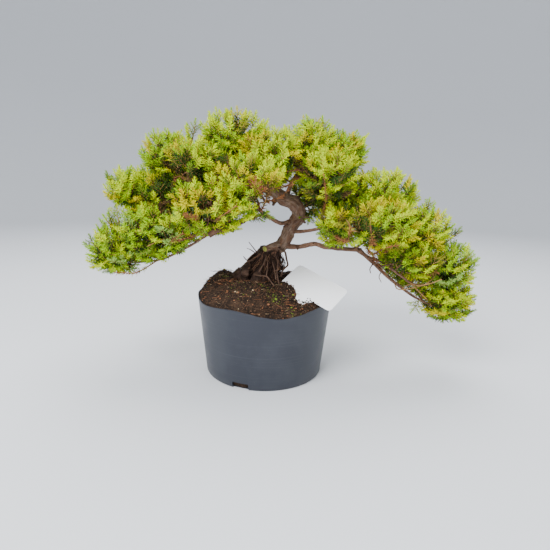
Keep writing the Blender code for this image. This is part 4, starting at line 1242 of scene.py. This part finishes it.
class JUNIPER_OT_foliage(Builder):
    """Replace every foliage mass by twigs and sprays of needles"""

    bl_idname = "juniper.foliage"
    bl_label = "Foliage"

    def execute(self, context):
        settings = context.scene.juniper_foliage
        shapes = limb_shapes()
        spaces = [Space(*row) for _, *row in MASSES]
        grower = Grower(settings, shapes)
        for number, space in enumerate(spaces):
            space.meet(spaces, shapes)
            grower.mass(space, shapes, number)
        for number, (name, start, mood) in enumerate(LEAFY_BOUGHS):
            grower.leafy_bough(name, start, mood, shapes, number)
        for limb, start, joints, mood in STRAYS:
            grower.stray(limb, start, joints, mood, shapes)
        for scaly, twigs in ((True, SCALY_TWIGS), (False, BARE_TWIGS)):
            for limb, start, joints in twigs:
                grower.scaly_twig(limb, start, joints, shapes, scaly)
        made = []
        for name, heap in sorted(grower.needles.items()):
            material = leaf_finish("needles_" + name, getattr(settings, name))
            made += heap.pieces("needles_" + name, material, smooth=False)
        made += grower.stems.pieces("spray_stems", leaf_finish("spray_stem", settings.stem))
        made += grower.buds.pieces("buds", leaf_finish("bud", settings.bud))
        for piece in made:
            finished(piece, "needles", *FOLIAGE_NODES)
        bark = crumb_finish("twig_bark", context.scene.juniper_wood.red_bark)
        finished(array_piece("twigs", *joined(grower.twigs), bark), "bark", *FOLIAGE_NODES)
        rust = crumb_finish("scaly_twig_bark", darker(settings.rust, 0.8))
        finished(array_piece("scaly_twigs", *joined(grower.scaly_twigs), rust), "bark")
        orange = crumb_finish("bare_twig_bark", darker(settings.stem, 0.75), 0.3)
        finished(array_piece("bare_twigs", *joined(grower.bare_twigs), orange), "bark")
        return {"FINISHED"}


class JUNIPER_OT_trunk(Builder):
    """Replace the trunk by barky wood, with the cut face of its stub"""

    bl_idname = "juniper.trunk"
    bl_label = "Trunk"

    def execute(self, context):
        wood = context.scene.juniper_wood
        shapes = limb_shapes()
        bm = bmesh.new()
        for name in ("trunk", "stub"):
            grow_limb(bm, *shapes[name], wood.trunk_sides, wood.ring_step, wood.bark_relief)
        bark = bark_finish("trunk_bark", wood.pale_bark, wood.red_bark, wood.dark_bark)
        finished(bmesh_piece(bm, "trunk_bark", bark), "bark", "trunk")

        route, radii = shapes["stub"]
        forward = (route[-1] - route[-2]).normalized()
        bm = bmesh.new()
        grow_limb(bm, [route[-1] - forward * 0.0006, route[-1] + forward * 0.0003],
                  (radii[1] * 0.93, radii[1] * 0.86), wood.trunk_sides, 0.0003, 0.05)
        cut = Finish("cut_wood", wood.cut_wood, 0.7)
        rings = cut.noise(cut.place(), 700.0)
        cut.colour(cut.ramp(rings, ((0.3, darker(wood.cut_wood, 0.55)), (0.6, wood.cut_wood))))
        cut.bump(rings, 0.0003)
        finished(bmesh_piece(bm, "stub_cut_face", cut.material), "bark", "trunk")
        return {"FINISHED"}


class JUNIPER_OT_boughs(Builder):
    """Replace every bough by a tapering limb with bark, and add the dead stubs and twigs"""

    bl_idname = "juniper.boughs"
    bl_label = "Boughs"

    def execute(self, context):
        wood = context.scene.juniper_wood
        shapes = limb_shapes()
        bm = bmesh.new()
        for number, (name, *_) in enumerate(LIMBS):
            grow_limb(bm, *shapes[name], wood.bough_sides, wood.ring_step, 1.3 * wood.bark_relief,
                      0.45, number * 3.7, 3.0)
        bark = bark_finish("bough_bark", wood.bough_bark, wood.red_bark, wood.dark_bark, 1.5)
        finished(bmesh_piece(bm, "boughs_bark", bark), "bark", *BOUGH_NODES)

        bm = bmesh.new()
        grow_listed(bm, DEAD_TWIGS, bends=4, sides=8, step=wood.ring_step,
                    relief=2.0 * wood.bark_relief, foot_flare=0.5,
                    phases=[number * 5.3 for number in range(len(DEAD_TWIGS))], ridges=2.0)
        dead = bark_finish("dead_twig_bark", wood.red_bark, darker(wood.red_bark, 0.6),
                           wood.dark_bark, 1.5)
        finished(bmesh_piece(bm, "dead_twigs", dead), "bark")
        return {"FINISHED"}


class JUNIPER_OT_roots(Builder):
    """Add the root flare under the trunk, its loose roots and its fibres"""

    bl_idname = "juniper.roots"
    bl_label = "Roots"

    def execute(self, context):
        wood = context.scene.juniper_wood
        foot = SEAT - UP * SEAT_SINK
        bm = bmesh.new()
        grow_limb(bm, [foot, foot.lerp(FLARE_TOP, 0.5), FLARE_TOP],
                  (FLARE_FOOT_RADIUS, FLARE_TOP_RADIUS), 96, ROOT_STEP, 0.14, ridges=9.0)
        grow_listed(bm, ROOT_LUMPS, bends=4, sides=40, step=ROOT_STEP, relief=0.30,
                    foot_flare=0.0, phases=[row[0] for row in ROOT_LUMPS], ridges=5.0)
        bark = bark_finish("root_bark", darker(wood.root, 1.9), wood.root, darker(wood.root, 0.35),
                           1.2)
        finished(bmesh_piece(bm, "root_flare", bark), "bark", "trunk")

        bm = bmesh.new()
        grow_listed(bm, LOOSE_ROOTS, bends=5, sides=8, step=STRAND_STEP, relief=0.25,
                    foot_flare=0.0, phases=[row[0] * 7.0 for row in LOOSE_ROOTS], ridges=2.0)
        knob = bmesh.ops.create_icosphere(bm, subdivisions=3, radius=ROOT_KNOB_RADIUS)["verts"]
        for vert in knob:
            rough = 1.0 + 0.50 * noise.noise(vert.co * 300.0)
            vert.co = ROOT_KNOB + Vector((vert.co.x, vert.co.y, vert.co.z * 0.8)) * rough
        bark = bark_finish("loose_roots", wood.root_skin, darker(wood.root_skin, 0.6),
                           darker(wood.root, 0.9), 1.2)
        finished(bmesh_piece(bm, "loose_roots", bark), "bark")

        source = random.Random(ROOT_SEED)
        strands = [self.fibre(foot, source) for _ in range(wood.root_fibres)]
        pale = strands[::4]
        del strands[::4]
        for name, shapes, tone in (("root_fibres", strands, wood.root),
                                   ("root_fibres_pale", pale, darker(wood.red_bark, 0.9))):
            finished(array_piece(name, *joined(shapes), crumb_finish(name, tone)), "bark")
        return {"FINISHED"}

    @staticmethod
    def fibre(foot, source):
        """A fine root that runs down the flare and stands off it a little on the way."""
        start = source.uniform(0, 2 * math.pi)
        drift = source.gauss(0.0, 0.35)
        high = source.uniform(0.45, 1.0)
        low = source.uniform(-0.02, 0.30)
        loose = source.random() ** 4 * 0.010
        radius = source.choice(FIBRE_RADII)
        wave = source.uniform(0, 6.0)
        points = []
        for step in range(FIBRE_STEPS + 1):
            t = step / FIBRE_STEPS
            rise = high + (low - high) * t
            angle = start + drift * t + 0.10 * math.sin(wave + 5.0 * t)
            around = FLARE_FOOT_RADIUS + (FLARE_TOP_RADIUS - FLARE_FOOT_RADIUS) * rise
            around += radius * 0.6 + loose * math.sin(math.pi * min(1.0, t * 1.2)) ** 2
            points.append(foot.lerp(FLARE_TOP, rise) + compass(angle) * around)
        return swept(points, [radius * (1.0 - 0.06 * step) for step in range(len(points))], 5)


def rim_height(pot, angle):
    """Height of the hand-cut rim at an angle round the pot, in radians."""
    return pot.rim_height + sum(size * math.cos(count * (angle - math.radians(phase)))
                                for count, size, phase in RIM_WAVES)


def pot_radius(pot, height):
    """Outer radius of the pot's wall at a height."""
    return pot.base_radius + pot.taper * height


def spin_profile(bm, profile, steps):
    """Turn a profile of (radius, height) points a full round about Z."""
    verts = [bm.verts.new((radius, 0.0, height)) for radius, height in profile]
    edges = [bm.edges.new(pair) for pair in zip(verts, verts[1:])]
    bmesh.ops.spin(bm, geom=verts + edges, cent=(0, 0, 0), axis=(0, 0, 1), angle=2 * math.pi,
                   steps=steps, use_merge=True)
    bmesh.ops.remove_doubles(bm, verts=bm.verts, dist=1e-6)
    bmesh.ops.recalc_face_normals(bm, faces=bm.faces)


class JUNIPER_OT_pot(Builder):
    """Replace the pot by a finer one with a rough cut rim and drain slots"""

    bl_idname = "juniper.pot"
    bl_label = "Pot"

    def execute(self, context):
        pot = context.scene.juniper_pot
        top = pot.rim_height
        outer = [(pot_radius(pot, top * level), top * level) for level in (*WALL_LEVELS, 1.0)]
        inner = [(radius - pot.wall, height) for radius, height in reversed(outer)]
        profile = [(0.0, 0.0), (pot.base_radius - pot.foot_chamfer, 0.0),
                   (pot.base_radius - 0.3 * pot.foot_chamfer, 0.3 * pot.foot_chamfer),
                   (pot_radius(pot, pot.foot_chamfer), pot.foot_chamfer), *outer, *inner,
                   (pot_radius(pot, pot.wall) - pot.wall - pot.foot_chamfer, pot.wall),
                   (0.0, pot.wall)]
        bm = bmesh.new()
        spin_profile(bm, profile, pot.steps)
        for vert in bm.verts:
            radius = math.hypot(vert.co.x, vert.co.y)
            if vert.co.z > 0.05 * top and radius > 0.01:
                angle = math.atan2(vert.co.y, vert.co.x)
                inset = pot_radius(pot, vert.co.z) - radius
                level = vert.co.z / top
                cut = RIM_ROUGHNESS * noise.noise(compass(angle) * 9.0)
                height = level * (rim_height(pot, angle) + (cut if level > 0.95 else 0.0))
                radius = pot_radius(pot, height) - inset
                vert.co = (radius * math.cos(angle), radius * math.sin(angle), height)
        rim = [edge for edge in bm.edges
               if all(vert.co.z > rim_height(pot, math.atan2(vert.co.y, vert.co.x)) - 0.0008
                      for vert in edge.verts)
               and len({round(face.normal.z) for face in edge.link_faces}) > 1]
        bmesh.ops.bevel(bm, geom=rim, offset=RIM_BEVEL, affect="EDGES", segments=2, profile=0.5,
                        material=-1)
        shell = bmesh_piece(bm, "pot_shell", self.plastic(pot))
        cutters = []
        for number in range(DRAIN_SLOTS):
            angle = math.radians(DRAIN_ANGLE + number * 360.0 / DRAIN_SLOTS)
            bm = bmesh.new()
            matrix = (Matrix.Translation(compass(angle) * pot.base_radius)
                      @ Matrix.Rotation(angle, 4, "Z") @ Matrix.Diagonal((*DRAIN_SIZE, 1.0)))
            bmesh.ops.create_cube(bm, size=1.0, matrix=matrix)
            edges = [edge for edge in bm.edges if edge.verts[0].co.z > 0
                     and abs(edge.verts[0].co.z - edge.verts[1].co.z) < 1e-6]
            bmesh.ops.bevel(bm, geom=edges, offset=DRAIN_CORNER, affect="EDGES", segments=3,
                            profile=0.5, material=-1)
            cutter = bmesh_piece(bm, "drain_cutter", shell.data.materials[0])
            cutters.append(cutter)
            cut = shell.modifiers.new("drain", "BOOLEAN")
            cut.operation = "DIFFERENCE"
            cut.object = cutter
        depsgraph = context.evaluated_depsgraph_get()
        mesh = bpy.data.meshes.new_from_object(shell.evaluated_get(depsgraph))
        shell.modifiers.clear()
        shell.data = mesh
        mesh.shade_smooth()
        mesh.set_sharp_from_angle(angle=math.radians(35))
        for cutter in cutters:
            bpy.data.objects.remove(cutter)
        finished(shell, "pot", "pot")
        return {"FINISHED"}

    @staticmethod
    def plastic(pot):
        """Satin charcoal plastic with fine level scratches, dull patches and splashed lime."""
        finish = Finish("pot_plastic", pot.plastic, 0.42, 0.50)
        lines = finish.noise(finish.place((6.0, 6.0, 900.0)), 1.0, 3.0, 0.6)
        patches = finish.noise(finish.place(), 28.0, 4.0, 0.6)
        specks = finish.noise(finish.place(), 650.0, 2.0)
        grain = finish.noise(finish.place(), 1800.0, 2.0)
        tone = pot.plastic
        for pattern, stops in ((lines, ((0.60, 0.0), (0.74, 0.30))),
                               (patches, ((0.45, 0.0), (0.75, 0.25))),
                               (specks, ((0.68, 0.0), (0.74, 0.35)))):
            tone = finish.mix(finish.ramp(pattern, stops), tone, pot.scuff)
        finish.colour(tone)
        finish.roughness(finish.ramp(patches, ((0.3, 0.34), (0.7, 0.52))))
        finish.bump(lines, 0.00006)
        finish.bump(grain, 0.00003)
        return finish.material


def soil_height(pot, x, y):
    """Height of the heaped soil, with the level seat under the roots."""
    angle = math.atan2(y, x)
    edge = rim_height(pot, angle) - SOIL_BELOW_RIM
    reach = min(1.0, math.hypot(x, y) / (pot_radius(pot, edge) - pot.wall))
    power = 4.0 + 2.0 * math.cos(angle - math.radians(SOIL_STEEP_SIDE))
    heap = edge + SOIL_RISE * (1.0 - reach ** power)
    lump = SOIL_LUMP * noise.noise(Vector((x, y, 0.0)) * SOIL_LUMPS_PER_METRE) * (1.0 - reach ** 4)
    for (mound_x, mound_y), mound_reach, mound_height in SOIL_MOUNDS:
        mound_share = math.hypot(x - mound_x, y - mound_y) / mound_reach
        heap += mound_height * math.exp(-mound_share * mound_share)
    away = math.hypot(x - SEAT.x, y - SEAT.y) - SEAT_RADIUS
    blend = min(1.0, max(0.0, away / SEAT_BLEND))
    return SEAT.z + (heap + lump - SEAT.z) * blend


def turned(place, source):
    """A matrix that puts a shape at a place with a random turn about Z."""
    return Matrix.Translation(place) @ Matrix.Rotation(source.uniform(0, 6.3), 4, "Z")


def label_axes():
    """Directions along the label's long edge, up it and off its face."""
    along = LABEL_ALONG.normalized()
    up = -(LABEL_DOWN - along * LABEL_DOWN.dot(along)).normalized()
    return along, up, along.cross(up)


class JUNIPER_OT_soil(Builder):
    """Replace the soil by a crumbly heap, with grains, chips, moss and fibres on it"""

    bl_idname = "juniper.soil"
    bl_label = "Soil"

    def execute(self, context):
        pot, soil = context.scene.juniper_pot, context.scene.juniper_soil
        source = random.Random(SOIL_SEED)
        self.bed(pot, soil)
        edge = pot_radius(pot, pot.rim_height) - pot.wall

        grains = {}
        lumps = [self.lump(source) for _ in range(6)]
        for _ in range(soil.grains):
            x, y = self.somewhere(source, edge)
            kind = pick(GRAIN_KINDS, source)
            if kind == "moss" and source.random() < 0.8:
                (middle_x, middle_y), spread = source.choice(MOSS_PATCHES)
                x, y = source.gauss(middle_x, spread), source.gauss(middle_y, spread)
            if math.hypot(x, y) > edge - 0.0015:
                continue
            size = min(GRAIN_LARGEST, source.lognormvariate(*GRAIN_SIZES)) * MM
            size *= 0.8 if kind in ("straw", "moss") else 1.0
            matrix = (turned((x, y, soil_height(pot, x, y) + 0.15 * size), source)
                      @ Matrix.Rotation(source.gauss(0, 0.5), 4, "X")
                      @ Matrix.Diagonal((size * source.uniform(0.8, 1.7), size,
                                         size * source.uniform(0.35, 0.9), 1.0)))
            grains.setdefault(kind, Heap()).add(source.choice(lumps), matrix)
        for kind, x, y, size in SOIL_CHIPS:
            height = soil_height(pot, x * MM, y * MM) + 0.3 * size * MM
            matrix = (turned((x * MM, y * MM, height), source)
                      @ Matrix.Diagonal((size * MM, 0.8 * size * MM, 0.6 * size * MM, 1.0)))
            grains[kind].add(source.choice(lumps), matrix)
        axes = label_axes()
        for along, up in LABEL_CRUMBS:
            size = source.uniform(1.3, 3.0) * MM
            place = LABEL_MIDDLE + axes[0] * (along * MM) + axes[1] * (up * MM)
            place += axes[2] * (0.5 * size)
            matrix = turned(place, source) @ Matrix.Diagonal((size * 1.3, size, size * 0.8, 1.0))
            grains["dark"].add(source.choice(lumps), matrix)
        fibres = {}
        threads = [self.thread(source) for _ in range(8)]
        for _ in range(soil.fibres):
            x, y = self.somewhere(source, edge)
            if math.hypot(x, y) > edge - 0.004:
                continue
            kind = source.choice(FIBRE_KINDS)
            long = source.uniform(0.003, 0.011) * (0.7 if kind == "straw" else 1.0)
            slope = source.gauss(0.0, 0.16)
            matrix = (turned((x, y, soil_height(pot, x, y) + 0.0007), source)
                      @ Matrix.Rotation(slope, 4, "Y")
                      @ Matrix.Diagonal((long, long, long, 1.0)))
            fibres.setdefault(kind, Heap()).add(source.choice(threads), matrix)
        for what, heaps in (("soil_grains", grains), ("soil_fibres", fibres)):
            for name, heap in sorted(heaps.items()):
                finish = crumb_finish(f"{what}_{name}", getattr(soil, name))
                for piece in heap.pieces(f"{what}_{name}", finish, smooth=False):
                    finished(piece, "soil")
        return {"FINISHED"}

    @staticmethod
    def somewhere(source, edge):
        """A random place on the soil."""
        reach, angle = edge * math.sqrt(source.random()), source.uniform(0, 2 * math.pi)
        return reach * math.cos(angle), reach * math.sin(angle)

    @staticmethod
    def lump(source):
        """A crumb of soil, about one across."""
        bm = bmesh.new()
        bmesh.ops.create_icosphere(bm, subdivisions=1, radius=0.5)
        for vert in bm.verts:
            vert.co *= source.uniform(0.7, 1.25)
        return arrays_of(bm)

    @staticmethod
    def thread(source):
        """A bent fibre along X, one long."""
        bend = source.uniform(-0.25, 0.25)
        points = [Vector((t, bend * math.sin(math.pi * t), 0.08 * source.random())) for t in
                  (0.0, 0.25, 0.5, 0.75, 1.0)]
        radius = source.uniform(0.018, 0.045)
        return swept(points, [radius, radius, radius * 0.9, radius * 0.8, radius * 0.5], 3)

    @staticmethod
    def bed(pot, soil):
        """The heap itself, rough all over."""
        floor = pot.wall + SOIL_FLOOR_GAP
        inner = pot_radius(pot, floor) - pot.wall - pot.foot_chamfer - SOIL_FLOOR_GAP
        edge = pot_radius(pot, pot.rim_height) - pot.wall - SOIL_GAP
        profile = [(0.0, floor), (inner, floor),
                   (pot_radius(pot, SOIL_FOOT) - pot.wall - SOIL_GAP, SOIL_FOOT)]
        profile += [(edge * math.sqrt(1.0 - ring / soil.rings), pot.rim_height)
                    for ring in range(soil.rings + 1)]
        bm = bmesh.new()
        spin_profile(bm, profile, soil.steps)
        for vert in bm.verts:
            if vert.co.z > pot.rim_height / 2:
                x, y = vert.co.x, vert.co.y
                radius, angle = math.hypot(x, y), math.atan2(y, x)
                height = soil_height(pot, x, y)
                if radius > edge * 0.995:
                    radius = pot_radius(pot, height) - pot.wall - SOIL_GAP
                else:
                    for size, layer, per_metre in SOIL_CRUMBS:
                        height += size * noise.noise(Vector((x, y, layer)) * per_metre)
                vert.co = (radius * math.cos(angle), radius * math.sin(angle), height)
        finish = Finish("soil", soil.dark, 0.95, 0.15)
        crumbs = finish.noise(finish.place(), 520.0, 5.0, 0.7)
        patches = finish.noise(finish.place(), 90.0, 3.0)
        tone = finish.ramp(crumbs, ((0.35, darker(soil.dark, 0.5)), (0.52, soil.dark),
                                    (0.68, soil.brown)))
        brown = finish.ramp(patches, ((0.45, 0.0), (0.75, 0.4)))
        finish.colour(finish.mix(brown, tone, soil.brown))
        finish.bump(crumbs, 0.0012)
        finished(bmesh_piece(bm, "soil_bed", finish.material), "soil", "soil")


class JUNIPER_OT_label(Builder):
    """Replace the plant label by a blank card with rounded corners"""

    bl_idname = "juniper.label"
    bl_label = "Label"

    def execute(self, context):
        label = context.scene.juniper_label
        bm = bmesh.new()
        verts = [bm.verts.new((x, y, -label.thickness / 2)) for x, y in self.outline(label)]
        card = bm.faces.new(verts)
        raised = bmesh.ops.extrude_face_region(bm, geom=[card])
        top = [item for item in raised["geom"] if isinstance(item, bmesh.types.BMVert)]
        bmesh.ops.translate(bm, verts=top, vec=(0, 0, label.thickness))
        bmesh.ops.recalc_face_normals(bm, faces=bm.faces)
        edges = [edge for edge in bm.edges
                 if abs(edge.verts[0].co.z - edge.verts[1].co.z) < label.thickness / 2]
        bmesh.ops.bevel(bm, geom=edges, offset=LABEL_BEVEL, affect="EDGES", segments=2,
                        profile=0.5, material=-1)
        axes = label_axes()
        turn = Matrix(axes).transposed().to_4x4()
        middle = LABEL_MIDDLE + axes[1] * ((label.height - LABEL_MIDDLE_HEIGHT) / 2)
        bmesh.ops.transform(bm, verts=bm.verts, matrix=Matrix.Translation(middle) @ turn)
        piece = bmesh_piece(bm, "label_card", self.plastic(label))
        piece.data.set_sharp_from_angle(angle=math.radians(50))
        finished(piece, "label", "label")
        return {"FINISHED"}

    @staticmethod
    def arc(middle, radius, start, end, steps=10):
        """Points on an arc, both ends included; angles in degrees."""
        for step in range(steps + 1):
            angle = math.radians(start + (end - start) * step / steps)
            yield middle[0] + radius * math.cos(angle), middle[1] + radius * math.sin(angle)

    def outline(self, label):
        """Outline of the label, its head centred on the origin and its stake along -Y."""
        half_x = label.width / 2 - label.corner
        half_y = label.height / 2 - label.corner
        below = -label.height / 2
        stake = label.stake_width / 2
        fillet = label.fillet
        points = [*self.arc((half_x, half_y), label.corner, 0, 90),
                  *self.arc((-half_x, half_y), label.corner, 90, 180),
                  *self.arc((-half_x, -half_y), label.corner, 180, 270),
                  *self.arc((-stake - fillet, below - fillet), fillet, 90, 0),
                  (-stake * 0.6, below - label.stake_length),
                  (stake * 0.6, below - label.stake_length),
                  *self.arc((stake + fillet, below - fillet), fillet, 180, 90),
                  *self.arc((half_x, -half_y), label.corner, 270, 360)]
        return points

    @staticmethod
    def plastic(label):
        """White satin plastic with a faint grain and a few specks of soil."""
        finish = Finish("label_plastic", label.white, 0.38, 0.5)
        specks = finish.noise(finish.place(), 380.0, 3.0)
        finish.colour(finish.mix(finish.ramp(specks, ((0.74, 0.0), (0.80, 0.5))),
                                 label.white, darker(label.white, 0.35)))
        finish.roughness(finish.ramp(specks, ((0.3, 0.34), (0.7, 0.46))))
        finish.bump(finish.noise(finish.place(), 1500.0, 2.0), 0.00002)
        return finish.material


class JUNIPER_OT_stage(Builder):
    """Lay a pale floor with a swept backdrop, and add soft lights and the camera"""

    bl_idname = "juniper.stage"
    bl_label = "Stage"

    def execute(self, context):
        stage = context.scene.juniper_stage
        self.backdrop(stage)
        for name, power, place, size in LIGHTS:
            self.light(name, getattr(stage, power), Vector(place), size)
        world = bpy.data.worlds.new("studio")
        world.use_nodes = True
        sky = world.node_tree.nodes["Background"].inputs
        sky["Color"].default_value = (*stage.floor, 1.0)
        sky["Strength"].default_value = stage.sky
        context.scene.world = world
        data = bpy.data.cameras.new("camera")
        data.sensor_width = 36.0
        data.lens = stage.camera_lens
        data.clip_start = 0.01
        camera = bpy.data.objects.new("camera", data)
        camera.matrix_world = (Matrix.Translation(stage.camera_place)
                               @ Matrix.Rotation(math.pi / 2 - stage.camera_pitch, 4, "X")
                               @ Matrix.Rotation(stage.camera_roll, 4, "Z"))
        context.scene.collection.objects.link(camera)
        context.scene.camera = camera
        return {"FINISHED"}

    @staticmethod
    def backdrop(stage):
        """Round floor that sweeps up into a low wall on every side."""
        profile = [(0.0, 0.0), (1.0, 0.0), (FLOOR_RADIUS, 0.0)]
        for degrees in range(5, 91, 5):
            angle = math.radians(degrees)
            profile.append((FLOOR_RADIUS + FLOOR_SWEEP * math.sin(angle),
                            FLOOR_SWEEP - FLOOR_SWEEP * math.cos(angle)))
        profile.append((FLOOR_RADIUS + FLOOR_SWEEP, WALL_TOP))
        bm = bmesh.new()
        spin_profile(bm, profile, 96)
        if bm.faces[0].normal.z < 0:
            bmesh.ops.reverse_faces(bm, faces=bm.faces)
        finish = Finish("floor", stage.floor, 0.75, 0.2)
        finish.bump(finish.noise(finish.place(), 60.0, 3.0), 0.0002, 0.3)
        bmesh_piece(bm, "floor", finish.material)

    @staticmethod
    def light(name, power, place, size):
        """A soft square light that points at the plant and isn't seen itself."""
        data = bpy.data.lights.new(name, "AREA")
        data.energy = power
        data.size = size
        lamp = bpy.data.objects.new(name, data)
        turn = (AIM - place).to_track_quat("-Z", "Y").to_matrix().to_4x4()
        lamp.matrix_world = Matrix.Translation(place) @ turn
        lamp.visible_camera = False
        bpy.context.scene.collection.objects.link(lamp)


# ---------------------------------------------------------------- panel and registration


STEPS = (JUNIPER_OT_stage, JUNIPER_OT_pot, JUNIPER_OT_soil, JUNIPER_OT_label, JUNIPER_OT_roots,
         JUNIPER_OT_trunk, JUNIPER_OT_boughs, JUNIPER_OT_foliage)
GROUPS = {"juniper_foliage": FoliageSettings, "juniper_wood": WoodSettings,
          "juniper_pot": PotSettings, "juniper_soil": SoilSettings,
          "juniper_label": LabelSettings, "juniper_stage": StageSettings}


class JUNIPER_PT_sidebar(bpy.types.Panel):
    """Sizes, colours and building steps of the juniper"""

    bl_label = "Juniper"
    bl_idname = "JUNIPER_PT_sidebar"
    bl_space_type = "VIEW_3D"
    bl_region_type = "UI"
    bl_category = "Juniper"

    def draw(self, context):
        """List the settings of each group, then the steps."""
        for name, group in GROUPS.items():
            box = self.layout.box()
            box.label(text=group.__name__.replace("Settings", ""))
            for setting in group.__annotations__:
                box.prop(getattr(context.scene, name), setting)
        for step in STEPS:
            self.layout.operator(step.bl_idname)


def register():
    """Register the settings, steps and panel."""
    for name, group in GROUPS.items():
        bpy.utils.register_class(group)
        setattr(bpy.types.Scene, name, PointerProperty(type=group))
    for step in (*STEPS, JUNIPER_PT_sidebar):
        bpy.utils.register_class(step)


def unregister():
    """Take the panel, steps and settings away again."""
    for step in (JUNIPER_PT_sidebar, *reversed(STEPS)):
        bpy.utils.unregister_class(step)
    for name, group in reversed(GROUPS.items()):
        delattr(bpy.types.Scene, name)
        bpy.utils.unregister_class(group)


def main():
    """Build every piece in order."""
    register()
    for step in STEPS:
        group, name = step.bl_idname.split(".")
        getattr(getattr(bpy.ops, group), name)()
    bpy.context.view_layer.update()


if __name__ == "__main__":
    main()
